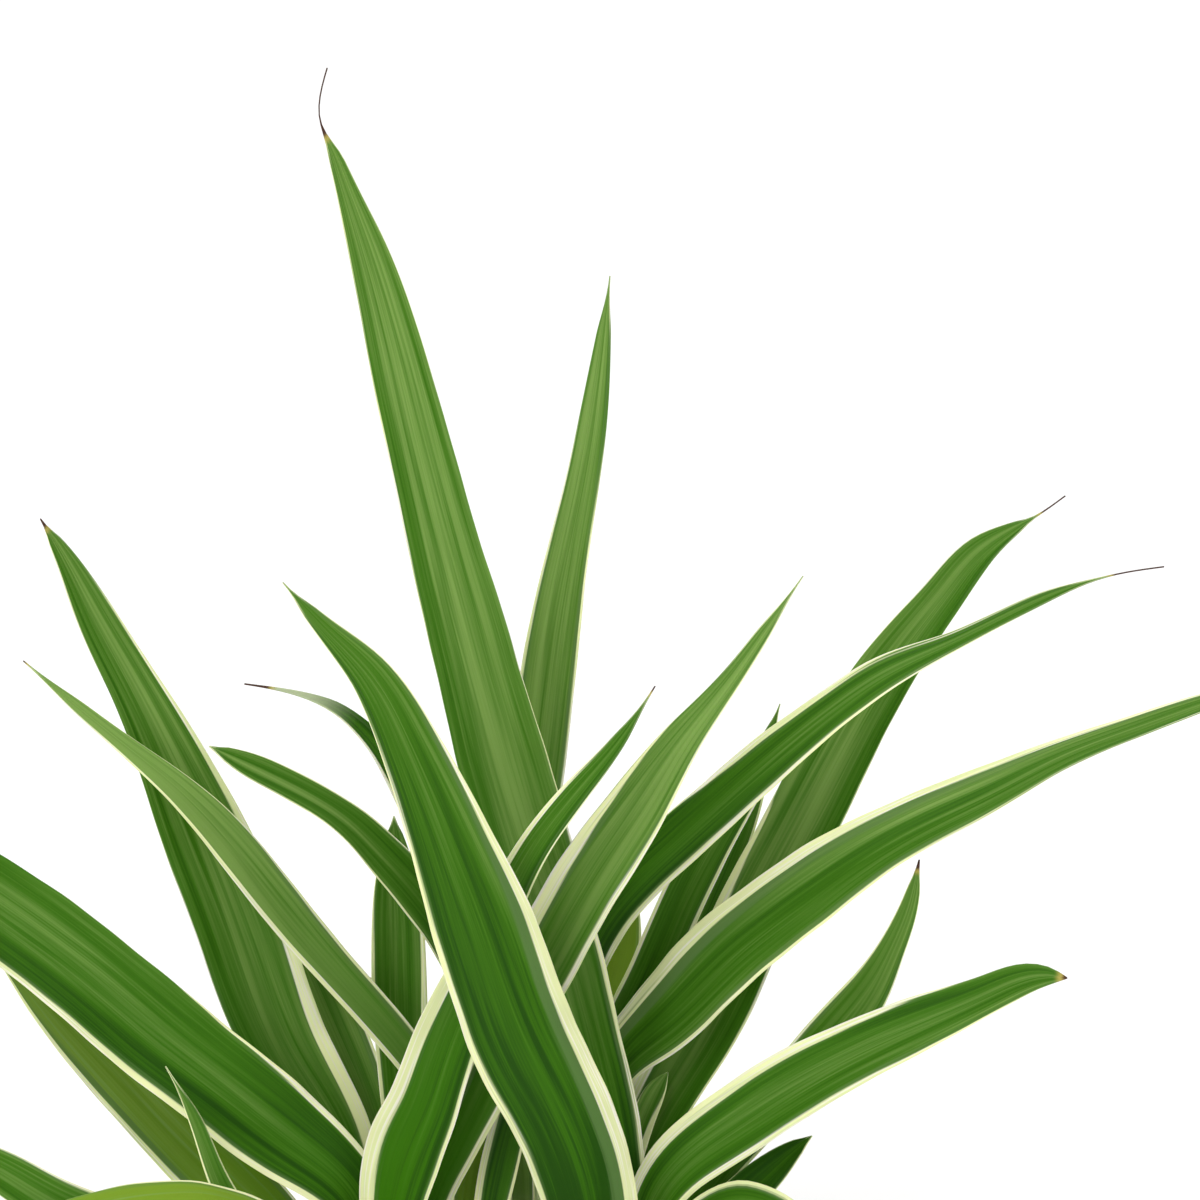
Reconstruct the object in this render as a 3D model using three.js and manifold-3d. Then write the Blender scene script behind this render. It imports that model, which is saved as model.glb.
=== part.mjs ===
// A potted spider plant: long strap leaves, green with cream margins, that rise and arch out of five
// crowns in a plain clay pot of compost.
// Millimetres, +Z up. The origin is the middle of the pot's flat base and the plant's front faces -Y.

import * as THREE from "three";
import { mergeVertices } from "three/addons/utils/BufferGeometryUtils.js";
import Module from "manifold-3d";

const wasm = await Module();
wasm.setup();

const GAP = 0.3; // clear space between pieces that touch on the real plant
const SOCKET_GAP = 0.6; // and round each leaf's foot in its crown

// Pot
const POT_HEIGHT = 126;
const POT_BASE_RADIUS = 50;
const POT_TOP_RADIUS = 70;
const POT_WALL = 5;
const POT_FLOOR = 7;
const RIM_HEIGHT = 26;
const RIM_PROUD = 5;
const RIM_ROUND = 2;
const DRAIN_RADIUS = 5;
const DRAIN_RING_RADIUS = 26;
const DRAIN_COUNT = 3;
const DRAIN_SEGMENTS = 16;
const POT_SEGMENTS = 48;

// Compost
const SOIL_LEVEL = 112;
const SOIL_RINGS = 7;
const SOIL_SEGMENTS = 40;
const SOIL_LUMP = 1.6;
const SOIL_SINK = 2; // the surface's mean height lies this far under SOIL_LEVEL

// Crowns: the short stems that the leaves grow from, set on the compost at [x, y, radius]
const CROWN_HEIGHT = 13;
const CROWN_ROOT = 24;
const ROOT_SHOULDER_DEPTH = 7;
const ROOT_SHOULDER_SHARE = 0.9; // the stub's radius there, as a share of the crown's
const ROOT_WAIST_DEPTH = 16.8;
const ROOT_WAIST_SHARE = 0.55;
const ROOT_END_RADIUS = 2;
const CROWN_SEGMENTS = 20;
const CROWN_RINGS = 6;
const CROWN_COLLAR = 2; // the leaves' collars stand this far above the dome
const CROWNS = {
  left: [-29, -2, 13],
  right: [27, -4, 13],
  back: [1, 22, 13],
  front: [-1, -30, 13],
  rear: [2, 48, 10.5],
};

// The leaves' routes are drawn as the eye sees the plant from in front and above: a point is
// [right, up, away, width], in millimetres, from the drawn routes' level on the pot's axis.
const EYE_TILT = THREE.MathUtils.degToRad(32);
const EYE_DISTANCE = 850;
const EYE_AXIS_RIGHT = 20; // the line of sight passes this far right of the pot's axis
const EYE_AXIS_UP = 175; // and this far above the drawn routes' level
const DRAWN_LIFT = 36; // that level is this far above the compost

// The drawn leaves stand nearer to upright than the plane that the eye faces: the higher a point is
// above LEAN_FROM, the further it comes forward, LEAN per millimetre in the end.
const LEAN = 0.5;
const LEAN_FROM = 30;
const LEAN_EASE = 60;
const LEAST_SHOWN = 0.75; // a drawn width is what the eye sees of the blade, down to this share of it

// Leaf blades
const BLADE_THICKNESS = 0.8;
const FOOT_THICKNESS = 2;
const FOOT_WIDTH = 5.6;
const TIP_WIDTH = 0.9;
const FOOT_FOLD = THREE.MathUtils.degToRad(40);
const BLADE_FOLD = THREE.MathUtils.degToRad(13);
const OPENING = 0.28; // the share of a leaf's length over which its folded foot opens to the flat blade
const FOOT_DEPTH = 4; // how deep a leaf's foot is set in its crown
const FOOT_SPLAY = 0.75; // how far the feet lean out with the dome, against its own normal
const STATION_STEP = 17;
const FEWEST_STATIONS = 8;
const MOST_STATIONS = 20;
const STATION_CROWDING = 0.92; // under 1, the stations stand closer towards the tip
const THICK_FOOT_SHARE = 1.6; // a blade thins out sooner than its fold opens, by this factor

// Each leaf: its name, its crown, the foot's place on the crown's dome as [compass degrees from +X,
// degrees down from the top], how far its face turns from the plant's own axis to the eye (0 to 1),
// and its route from the crown to the tip.
const DRAWN_LEAVES = [
  ["leaf_back_tall", "right", [100, 25], 0.65, [[23.5, 30.5, -7, 14], [17, 60, -11, 18],
    [9.3, 87.8, -14, 20], [-2, 125, -16, 22], [-12.4, 162.5, -16, 20], [-25.4, 213, -14, 16],
    [-38.3, 262.5, -9, 9.8], [-44.2, 280, -8, 5], [-47.2, 288, -7, 3], [-50, 295, -6, 1.1],
    [-50.1, 300, -6, 0.9], [-48.2, 308, -6, 0.9]]],
  ["leaf_back_slim", "back", [90, 45], 0.65, [[-1, 60, 21, 9.5], [-0.5, 88, 17, 12], [4.5, 132.5, 10, 13.5],
    [8, 162.5, 9, 13.6], [11.8, 185, 9, 10.8], [15.8, 205, 9.5, 8.7], [19, 225, 10, 6.5],
    [22.5, 256, 12, 0.9]]],
  ["leaf_front_broad", "right", [225, 35], 0.7, [[16.9, 25, -28, 23], [10.1, 45, -38, 25],
    [-0.7, 67.5, -47, 26.4], [-8.6, 89.7, -52, 25.7], [-16, 110, -55, 22], [-22, 125, -56, 18.3],
    [-28.5, 140, -57, 14.7], [-37.6, 156.2, -56, 10.6], [-49, 168.1, -54, 5.4], [-59.3, 179.4, -52, 0.9]]],
  ["leaf_left_broad", "left", [132, 36], 0.6, [[-45.6, 42, 5, 16], [-57.9, 62.5, 7, 20], [-67, 85, 8, 22],
    [-85.1, 130, 8, 18.2], [-96.1, 152.5, 7, 12.5], [-106.4, 171.3, 6, 9.5], [-114.3, 186.3, 4, 4.8],
    [-119.9, 195.3, 2, 0.9]]],
  ["leaf_left_narrow", "back", [205, 65], 0.6, [[-14, 34, 2, 7], [-32.5, 67, -3, 9], [-55, 92.5, -7, 10.2],
    [-70, 111.2, -9, 10.5], [-85, 127.2, -9, 7.6], [-100, 139.6, -8, 4.6], [-112, 149.4, -7, 3],
    [-124.2, 159.8, -5, 0.9]]],
  ["leaf_left_big", "left", [191, 48], 0.6, [[-42, 26, -14, 15], [-56, 39, -17, 20.5],
    [-71, 50.7, -21, 22.6], [-90.5, 65.7, -24, 23], [-108.4, 80.9, -27, 22.8], [-130.6, 97.3, -30, 21.8],
    [-150, 108.6, -33, 20.6],
    [-175, 113, -37, 16], [-222, 106, -46, 0.9]]],
  ["leaf_left_low", "left", [160, 80], 0.55, [[-58, 14, -4, 14], [-74, 30, -8, 17], [-98, 55, -11, 17],
    [-118, 76, -13, 12], [-135, 94, -14, 0.9]]],
  ["leaf_back_left_arch", "back", [165, 40], 0.5, [[-9, 62, 5, 8], [-15.5, 86, -2, 10.5],
    [-26, 101.5, -8, 10.5], [-36.2, 112.8, -11, 9.3], [-42.5, 119, -13, 8], [-51.9, 125.4, -16, 7],
    [-61.5, 130.4, -19, 6.8],
    [-70.6, 134.8, -21.5, 5], [-77.7, 138.4, -23, 0.9]]],
  ["leaf_back_left_curl", "back", [122, 75], 0.45, [[-11, 66, 13, 7], [-17, 96, 9, 8], [-22.5, 113, 6, 8],
    [-31.5, 132, 4, 6.2], [-36.2, 139, 3.5, 5.2], [-40.3, 143.4, 3, 4.2], [-46, 147.8, 2, 3],
    [-55.7, 151.6, 1, 1.9], [-68.9, 154, -1, 0.9]]],
  ["leaf_left_upright", "left", [85, 55], 0.6, [[-27.5, 35, 6, 10.5], [-29.5, 62, 10, 13],
    [-30.3, 90, 12, 13.5], [-31, 108, 13, 9.5], [-31.5, 121, 14, 0.9]]],
  ["leaf_centre_right", "left", [20, 30], 0.65, [[-23, 24, -12, 12], [-17, 38, -18, 13],
    [-6.7, 60, -23, 15.8], [5.2, 83, -27, 17.2], [18.7, 106.7, -28, 17.2], [30.9, 125, -28, 14.6],
    [40.8, 139.9, -27, 9.8], [51.6, 153.6, -25, 5.8], [61.4, 167.3, -23, 3.4], [70.8, 181, -20, 0.9]]],
  ["leaf_right_arch", "back", [25, 40], 0.6, [[6, 50, 13, 9], [12, 71.5, 7, 11], [21, 94.5, 0, 12.5],
    [38.7, 113.6, -3, 12.8], [64.9, 136.8, -7, 11.5], [78.6, 147.8, -9, 10], [92.3, 157, -10, 8.4],
    [107.1, 163.9, -11, 5.1], [133.4, 176.5, -12, 2.9], [151, 181.8, -11, 0.9], [161, 183.3, -10, 0.9]]],
  ["leaf_right_back_broad", "right", [95, 72], 0.6, [[28, 35, 8, 14], [35, 50, 9, 16], [45, 67, 10, 18],
    [58, 95, 12, 18.5], [70.6, 119.3, 13, 18], [79.6, 136.4, 13, 17], [93.4, 159.3, 12, 13.6],
    [107.1, 177.3, 10, 10.2], [114.8, 186.5, 8, 8], [131, 197.2, 4, 1], [136.3, 201, 3, 0.9]]],
  ["leaf_right_big", "back", [318, 62], 0.6, [[16, 40, 5, 9.5], [26.8, 61.8, 4, 13], [36.1, 70.6, 0, 17],
    [52.2, 86.7, -5, 19], [71.4, 101.7, -9, 18], [84.3, 110.6, -12, 16], [101.4, 120.1, -14, 13.3],
    [118.6, 128.1, -15, 11], [135.8, 136.4, -16.5, 7.6], [152.9, 142.9, -18, 5.7], [170, 148.9, -19, 4.4],
    [187, 154.4, -20, 0.9]]],
  ["leaf_right_small", "right", [55, 68], 0.6, [[44, 24, 3, 8], [56, 40, -1, 10], [72, 59, -5, 12],
    [87, 76.8, -9, 10.6], [92.8, 87.5, -11, 7], [97.2, 98.2, -13, 4.6], [99.8, 110, -15, 1.2]]],
  ["leaf_right_low", "right", [0, 35], 0.6, [[33, 23, -12, 12], [40.4, 34, -16, 15], [52.2, 43, -20, 16.7],
    [68.2, 53.2, -25, 16.6], [84.3, 61.8, -30, 15], [100.4, 69, -35, 12.7], [116.4, 75.9, -39, 9.4],
    [131.4, 80.8, -44, 5], [136.8, 80.5, -46, 1]]],
  ["leaf_right_low_dark", "right", [18, 84], 0.5, [[44, 12, -6, 7], [59.6, 29.5, -9, 9], [68, 37, -9, 5],
    [73, 41, -10, 0.9]]],
  ["leaf_right_low_arch", "right", [316, 62], 0.4, [[42, 14, -20, 10], [54, 22.5, -32, 11],
    [66, 19, -42, 11], [80, 4, -50, 9], [92, -16, -56, 0.9]]],
  ["leaf_front_left_rise", "left", [270, 12], 0.65, [[-32, 22, -22, 16], [-28.2, 37.5, -27, 19.4],
    [-23.8, 48, -30, 18.3], [-20.3, 58.5, -32, 17.3], [-9.5, 85, -38, 12.5],
    [2.2, 110.7, -40, 8.5], [15, 128, -39, 6.5],
    [25.5, 140.8, -37, 3.5], [33.8, 153.5, -34, 0.9]]],
  ["leaf_right_inner_slim", "rear", [340, 68], 0.55, [[30.5, 60, 20, 8.5], [43.5, 92.5, 22, 9.5],
    [54, 117, 24, 9], [65, 149, 22, 0.9]]],
  ["leaf_right_inner_dark", "back", [28, 80], 0.55, [[18, 50, 20, 9], [31, 77.5, 13, 11], [40, 98, 12, 11],
    [52, 120, 13, 9], [70, 144, 14, 0.9]]],
  ["leaf_inner_young", "back", [65, 75], 0.6, [[12, 48, 26, 8], [21.5, 72, 31, 9], [26, 88, 32, 9],
    [28, 106, 32, 0.9]]],
  ["leaf_left_young", "left", [204, 82], 0.55, [[-50, 0, -22, 5], [-62, 10, -28, 6], [-70, 20, -32, 6],
    [-76.2, 31.8, -36, 4.8], [-80.7, 43.8, -38, 3.5], [-88.6, 58.4, -40, 0.9]]],
  ["leaf_hooked_young", "right", [170, 40], 0.6, [[24, 22, 3, 6], [28, 37, 3, 6.5], [31.5, 47, 3, 6],
    [35, 54, 4, 4], [37, 57, 5, 0.9]]],
  ["leaf_inner_low", "front", [100, 60], 0.6, [[-8, 18, -8, 8], [-5.5, 32, -9, 9.5], [-2, 46, -10, 8.5],
    [2, 60, -10, 5], [5, 70, -10, 0.9]]],
  ["leaf_inner_olive", "back", [240, 84], 0.6, [[-13, 14, -4, 8], [-12, 28, -4, 10], [-10, 40, -4, 9],
    [-8, 50, -4, 6], [-7, 60, -4, 0.9]]],
  ["leaf_left_inner", "left", [115, 82], 0.55, [[-34, 36, 13, 9], [-44, 65, 19, 12], [-52, 83, 21, 10],
    [-60, 100, 22, 0.9]]],
  ["leaf_left_olive_arch", "left", [244, 50], 0.25, [[-47, 8, -32, 12], [-62, 16, -44, 13],
    [-77.5, 21.5, -54, 13], [-98, 20.5, -60, 13], [-115, 17, -64, 11], [-140, 8, -68, 0.9]]],
  ["leaf_left_front_low", "left", [240, 82], 0.45, [[-60, -2, -34, 12], [-80, 8, -40, 14],
    [-95, 15, -44, 13], [-114, 22.5, -48, 11], [-130, 32, -50, 9], [-160, 46, -52, 0.9]]],
];

// Plainer leaves that arch out over the pot's front, sides and back: [name, crown, seat, width,
// compass direction, reach, rise of the arch, height of the tip over the foot, sideways drift].
const ARCHED_LEAVES = [
  ["leaf_front_a", "front", [270, 50], 19, 268, 175, 62, -58, 6],
  ["leaf_front_b", "front", [330, 45], 17, 298, 150, 62, -16, -8],
  ["leaf_front_c", "front", [210, 45], 18, 240, 160, 62, -24, 8],
  ["leaf_front_d", "front", [350, 78], 16, 322, 150, 40, -46, 4],
  ["leaf_front_e", "front", [190, 78], 16, 213, 145, 42, -40, -4],
  ["leaf_front_g", "front", [160, 60], 13, 197, 105, 28, -6, 8],
  ["leaf_front_h", "front", [275, 12], 13, 280, 90, 48, 26, 0],
  ["leaf_front_i", "front", [242, 84], 14, 250, 118, 24, -36, -6],
  ["leaf_front_j", "front", [298, 84], 14, 288, 122, 26, -40, 6],
  ["leaf_side_right_a", "right", [275, 75], 16, 306, 165, 72, -40, 0],
  ["leaf_side_right_b", "right", [338, 88], 15, 347, 165, 32, -46, 0],
  ["leaf_rear_a", "rear", [83, 68], 18, 90, 130, 36, -30, 6],
  ["leaf_rear_b", "rear", [44, 48], 16, 70, 112, 26, -36, 0],
  ["leaf_rear_c", "rear", [176, 62], 17, 146, 118, 36, -30, -6],
  ["leaf_rear_d", "rear", [134, 78], 16, 118, 128, 30, -62, 0],
  ["leaf_rear_f", "rear", [226, 80], 16, 128, 84, 58, 46, 6],
  ["leaf_rear_e", "rear", [98, 14], 17, 98, 88, 70, 58, 0],
  ["leaf_rear_g", "rear", [12, 84], 15, 58, 64, 50, 30, -6],
];
const ARCH_STEPS = [0.18, 0.36, 0.54, 0.72, 0.88, 1];
const ARCH_SKEW = 0.35; // moves an arch's crest towards its foot
const ARCH_WIDTHS = [0.7, 1, 1, 0.85, 0.5, 0];

const SKY = new THREE.Vector3(0, 0, 1);
const EYE_RIGHT = new THREE.Vector3(1, 0, 0);
const EYE_UP = new THREE.Vector3(0, Math.sin(EYE_TILT), Math.cos(EYE_TILT));
const EYE_AWAY = new THREE.Vector3(0, Math.cos(EYE_TILT), -Math.sin(EYE_TILT));
const EYE_TARGET = new THREE.Vector3(0, 0, SOIL_LEVEL + DRAWN_LIFT)
  .addScaledVector(EYE_RIGHT, EYE_AXIS_RIGHT)
  .addScaledVector(EYE_UP, EYE_AXIS_UP);

// The place and width of a drawn point: further away, the same drawn offset spans more.
function seen([right, up, away, width]) {
  const above = Math.max(up - LEAN_FROM, 0);
  const depth = away - (LEAN * above * above) / (above + LEAN_EASE);
  const spread = 1 + depth / EYE_DISTANCE;
  const place = EYE_TARGET.clone()
    .addScaledVector(EYE_RIGHT, (right - EYE_AXIS_RIGHT) * spread)
    .addScaledVector(EYE_UP, (up - EYE_AXIS_UP) * spread)
    .addScaledVector(EYE_AWAY, depth);
  return routePoint(place, width * spread);
}

function routePoint(place, width) {
  return [place.x, place.y, place.z, width];
}

function compass(degrees) {
  const a = THREE.MathUtils.degToRad(degrees);
  return new THREE.Vector3(Math.cos(a), Math.sin(a), 0);
}

function crownCentre(crown) {
  const [x, y] = CROWNS[crown];
  return new THREE.Vector3(x, y, SOIL_LEVEL);
}

// A point of the crown's dome and the way a leaf leaves it there, which is steeper than the dome's normal.
function seatOf(crown, [direction, down]) {
  const polar = THREE.MathUtils.degToRad(down);
  const out = compass(direction);
  const surface = crownCentre(crown)
    .addScaledVector(out, CROWNS[crown][2] * Math.sin(polar))
    .addScaledVector(SKY, CROWN_HEIGHT * Math.cos(polar) + CROWN_COLLAR);
  const leave = out.clone().multiplyScalar(FOOT_SPLAY * Math.sin(polar)).add(SKY).normalize();
  return { surface, leave };
}

// The foot of a leaf, under the dome's surface, and its collar just above it.
function footOf(crown, seat) {
  const { surface, leave } = seatOf(crown, seat);
  const foot = surface.clone().addScaledVector(leave, -FOOT_DEPTH);
  const collar = surface.clone().addScaledVector(leave, FOOT_DEPTH);
  return [routePoint(foot, FOOT_WIDTH), routePoint(collar, FOOT_WIDTH)];
}

function archRoute(crown, seat, width, direction, reach, rise, drop, drift) {
  const { surface, leave } = seatOf(crown, seat);
  const start = surface.addScaledVector(leave, FOOT_DEPTH);
  const out = compass(direction);
  const side = compass(direction + 90);
  return ARCH_STEPS.map((t, i) => {
    const place = start
      .clone()
      .addScaledVector(out, reach * t)
      .addScaledVector(side, drift * t * t)
      .addScaledVector(SKY, 4 * rise * t * (1 - t) * (1 - ARCH_SKEW * t) + drop * t * t);
    return routePoint(place, Math.max(width * ARCH_WIDTHS[i], TIP_WIDTH));
  });
}

// The curve of least bending through the route (a natural cubic spline over the chord lengths).
// Its at() gives the place, the heading and the width at a share of the length, 0 to 1.
function leastBending(route) {
  const knots = [0];
  for (let i = 1; i < route.length; i++) {
    const [a, b] = [route[i - 1], route[i]];
    knots.push(knots[i - 1] + Math.hypot(b[0] - a[0], b[1] - a[1], b[2] - a[2]));
  }
  const last = route.length - 1;
  const bends = [0, 1, 2, 3].map((k) => secondDerivatives(knots, route.map((p) => p[k])));
  const length = knots[last];
  const at = (share) => {
    const s = share * length;
    let i = 0;
    while (i < last - 1 && s > knots[i + 1]) i++;
    const h = knots[i + 1] - knots[i];
    const a = (knots[i + 1] - s) / h;
    const b = (s - knots[i]) / h;
    const value = [];
    const slope = [];
    for (let k = 0; k < 4; k++) {
      const [p, q] = [route[i][k], route[i + 1][k]];
      const [m, n] = [bends[k][i], bends[k][i + 1]];
      value.push(a * p + b * q + (((a ** 3 - a) * m + (b ** 3 - b) * n) * h * h) / 6);
      slope.push((q - p) / h + (h * ((1 - 3 * a * a) * m + (3 * b * b - 1) * n)) / 6);
    }
    const place = new THREE.Vector3(...value);
    const heading = new THREE.Vector3(...slope).normalize();
    return { place, heading, width: Math.max(value[3], TIP_WIDTH) };
  };
  return { length, at };
}

// Solves the natural spline's three-band equations for the second derivatives at the knots.
function secondDerivatives(knots, values) {
  const n = knots.length;
  const second = new Array(n).fill(0);
  const upper = new Array(n).fill(0);
  const right = new Array(n).fill(0);
  for (let i = 1; i < n - 1; i++) {
    const before = knots[i] - knots[i - 1];
    const after = knots[i + 1] - knots[i];
    const slopes = (values[i + 1] - values[i]) / after - (values[i] - values[i - 1]) / before;
    const pivot = 2 * (before + after) - before * upper[i - 1];
    upper[i] = after / pivot;
    right[i] = (6 * slopes - before * right[i - 1]) / pivot;
  }
  for (let i = n - 2; i > 0; i--) second[i] = right[i] - upper[i] * second[i + 1];
  return second;
}

const smooth = (t) => t * t * (3 - 2 * t);
const mix = THREE.MathUtils.lerp;

// The blade at one station: its place, heading, side, upper normal and width, and how far its fold
// is opened.
function stationAt(leaf, share) {
  const { place, heading, width } = leaf.curve.at(share);
  const inward = leaf.inward.clone().multiplyScalar(1 - share);
  const natural = inward.addScaledVector(SKY, 0.3 + share).normalize();
  const opened = smooth(Math.min(share / OPENING, 1));
  const toward = natural.lerp(EYE_AWAY.clone().negate(), leaf.facing * opened);
  const normal = toward.addScaledVector(heading, -toward.dot(heading)).normalize();
  const side = heading.clone().cross(normal);
  const upright = Math.sqrt(1 - heading.dot(EYE_AWAY) ** 2);
  const shown = Math.max(Math.abs(normal.dot(EYE_AWAY)) / upright, LEAST_SHOWN);
  const wide = leaf.drawn ? width / mix(1, shown, opened) : width;
  return { place, heading, side, normal, width: wide, opened };
}

// The closed blade: a thin channel of six corners, swept along the curve as far as the share `until`.
// grow fattens it all round.
function bladeMesh(leaf, grow = 0, until = 1) {
  const steps = Math.round(leaf.curve.length / STATION_STEP);
  const count = THREE.MathUtils.clamp(steps, FEWEST_STATIONS, MOST_STATIONS);
  const all = Array.from({ length: count + 1 }, (_, i) => (i / count) ** STATION_CROWDING);
  const shares = all.filter((share) => share <= until);
  const corners = [];
  for (const share of shares) {
    const { place, heading, side, normal, width, opened } = stationAt(leaf, share);
    const fold = mix(FOOT_FOLD, BLADE_FOLD, opened);
    const across = width / 2 + grow;
    const lift = across * Math.tan(fold);
    const thickness = mix(FOOT_THICKNESS, BLADE_THICKNESS, Math.min(opened * THICK_FOOT_SHARE, 1));
    const thick = thickness / 2 + grow / Math.cos(fold);
    const back = share === 0 ? -grow : 0;
    for (const [u, v] of [[-1, 1], [0, 1], [1, 1], [1, -1], [0, -1], [-1, -1]]) {
      const corner = place
        .clone()
        .addScaledVector(side, u * across)
        .addScaledVector(normal, Math.abs(u) * lift + v * thick)
        .addScaledVector(heading, back);
      corners.push(corner);
    }
  }
  return geometryOf(corners, ringFaces(shares.length));
}

// The faces of a tube of six-cornered rings, closed at both ends. The diagonals run alike on the
// upper and the lower face.
function ringFaces(ringCount) {
  const ring = 6;
  const faces = [];
  for (let i = 0; i < ringCount - 1; i++) {
    const a = i * ring;
    const b = a + ring;
    for (const [p, q] of [[0, 1], [2, 3], [3, 4], [5, 0]]) {
      faces.push([a + p, b + q, b + p], [a + p, a + q, b + q]);
    }
    for (const [p, q] of [[1, 2], [4, 5]]) {
      faces.push([a + p, a + q, b + p], [a + q, b + q, b + p]);
    }
  }
  const end = (ringCount - 1) * ring;
  for (const [p, q, r] of [[0, 1, 5], [1, 4, 5], [1, 2, 4], [2, 3, 4]]) {
    faces.push([p, r, q]);
    faces.push([end + p, end + q, end + r]);
  }
  return faces;
}

function geometryOf(points, faces) {
  const geometry = new THREE.BufferGeometry();
  const numbers = points.flatMap((p) => [p.x, p.y, p.z]);
  geometry.setAttribute("position", new THREE.Float32BufferAttribute(numbers, 3));
  geometry.setIndex(faces.flat());
  return geometry;
}

function solidOf(geometry) {
  const bare = new THREE.BufferGeometry();
  bare.setAttribute("position", geometry.getAttribute("position").clone());
  bare.setIndex(geometry.index ? geometry.index.clone() : null);
  const merged = mergeVertices(bare, 1e-4);
  const mesh = new wasm.Mesh({
    numProp: 3,
    vertProperties: new Float32Array(merged.attributes.position.array),
    triVerts: new Uint32Array(merged.index.array),
  });
  return new wasm.Manifold(mesh);
}

function geometryFromSolid(solid) {
  const mesh = solid.getMesh();
  const geometry = new THREE.BufferGeometry();
  geometry.setAttribute("position", new THREE.Float32BufferAttribute(mesh.vertProperties, 3));
  geometry.setIndex(new THREE.BufferAttribute(new Uint32Array(mesh.triVerts), 1));
  return geometry;
}

// A solid of revolution about +Z from [radius, height] pairs that start and end on the axis.
function turned(profile, segments) {
  const points = profile.map(([r, z]) => new THREE.Vector2(r, z));
  return new THREE.LatheGeometry(points, segments).rotateX(Math.PI / 2);
}

function potRadiusAt(z) {
  return mix(POT_BASE_RADIUS, POT_TOP_RADIUS, z / POT_HEIGHT);
}

function makePot() {
  const rimFoot = POT_HEIGHT - RIM_HEIGHT;
  const rimRadius = POT_TOP_RADIUS + RIM_PROUD;
  const mouth = POT_TOP_RADIUS - POT_WALL;
  const profile = [
    [0, 0],
    [POT_BASE_RADIUS - RIM_ROUND, 0],
    [POT_BASE_RADIUS, RIM_ROUND],
    [potRadiusAt(rimFoot), rimFoot],
    [rimRadius - RIM_ROUND, rimFoot],
    [rimRadius, rimFoot + RIM_ROUND],
    [rimRadius, POT_HEIGHT - RIM_ROUND],
    [rimRadius - RIM_ROUND, POT_HEIGHT],
    [mouth + RIM_ROUND, POT_HEIGHT],
    [mouth, POT_HEIGHT - RIM_ROUND],
    [POT_BASE_RADIUS - POT_WALL, POT_FLOOR],
    [0, POT_FLOOR],
  ];
  let pot = solidOf(turned(profile, POT_SEGMENTS));
  for (let i = 0; i < DRAIN_COUNT; i++) {
    const at = compass(90 + (360 / DRAIN_COUNT) * i).multiplyScalar(DRAIN_RING_RADIUS);
    const drill = new THREE.CylinderGeometry(DRAIN_RADIUS, DRAIN_RADIUS, 4 * POT_FLOOR, DRAIN_SEGMENTS);
    pot = pot.subtract(solidOf(drill.rotateX(Math.PI / 2).translate(at.x, at.y, 0)));
  }
  return geometryFromSolid(pot);
}

// The inner wall's radius at a height.
function mouthRadiusAt(z) {
  const top = POT_HEIGHT - RIM_ROUND;
  return mix(POT_BASE_RADIUS - POT_WALL, POT_TOP_RADIUS - POT_WALL, (z - POT_FLOOR) / (top - POT_FLOOR));
}

// The compost's surface: level, with low lumps that die out at the pot's wall.
function soilHeight(x, y) {
  const lumps = Math.sin(x * 0.21 + 1.3) * Math.cos(y * 0.19) + 0.6 * Math.sin(x * 0.47 - y * 0.39);
  const edge = 1 - (Math.hypot(x, y) / mouthRadiusAt(SOIL_LEVEL)) ** 4;
  return SOIL_LEVEL + SOIL_LUMP * lumps * Math.max(edge, 0) - SOIL_SINK;
}

function crownProfile(radius, grow) {
  const top = [];
  for (let i = 0; i <= CROWN_RINGS; i++) {
    const polar = (i / CROWN_RINGS) * (Math.PI / 2);
    top.push([(radius + grow) * Math.sin(polar), (CROWN_HEIGHT + grow) * Math.cos(polar)]);
  }
  const root = [
    [(radius + grow) * ROOT_SHOULDER_SHARE, -ROOT_SHOULDER_DEPTH],
    [(radius + grow) * ROOT_WAIST_SHARE, -ROOT_WAIST_DEPTH],
    [ROOT_END_RADIUS + grow, -CROWN_ROOT - grow],
    [0, -CROWN_ROOT - grow],
  ];
  return [...top, ...root].reverse();
}

function crownSolid(name, grow = 0) {
  const { x, y, z } = crownCentre(name);
  return solidOf(turned(crownProfile(CROWNS[name][2], grow), CROWN_SEGMENTS).translate(x, y, z));
}

function makeSoil() {
  const floor = POT_FLOOR + GAP;
  const points = [new THREE.Vector3(0, 0, floor), new THREE.Vector3(0, 0, soilHeight(0, 0))];
  const faces = [];
  const ringStart = (k) => 2 + k * SOIL_SEGMENTS;
  const rimRadius = mouthRadiusAt(SOIL_LEVEL - SOIL_SINK) - 2 * GAP;
  for (let k = 0; k <= SOIL_RINGS; k++) {
    const lower = k === SOIL_RINGS;
    const radius = lower ? mouthRadiusAt(floor) - 2 * GAP : (rimRadius * (k + 1)) / SOIL_RINGS;
    for (let i = 0; i < SOIL_SEGMENTS; i++) {
      const p = compass((360 / SOIL_SEGMENTS) * i).multiplyScalar(radius);
      p.z = lower ? floor : soilHeight(p.x, p.y);
      points.push(p);
    }
  }
  for (let i = 0; i < SOIL_SEGMENTS; i++) {
    const j = (i + 1) % SOIL_SEGMENTS;
    faces.push([1, ringStart(0) + i, ringStart(0) + j]);
    for (let k = 0; k < SOIL_RINGS; k++) {
      const [a, b, c, d] = [ringStart(k) + i, ringStart(k + 1) + i, ringStart(k + 1) + j, ringStart(k) + j];
      faces.push([a, b, c], [a, c, d]);
    }
    faces.push([0, ringStart(SOIL_RINGS) + j, ringStart(SOIL_RINGS) + i]);
  }
  let soil = solidOf(geometryOf(points, faces));
  for (const name of Object.keys(CROWNS)) soil = soil.subtract(crownSolid(name, 2 * GAP));
  return geometryFromSolid(soil);
}

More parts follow.
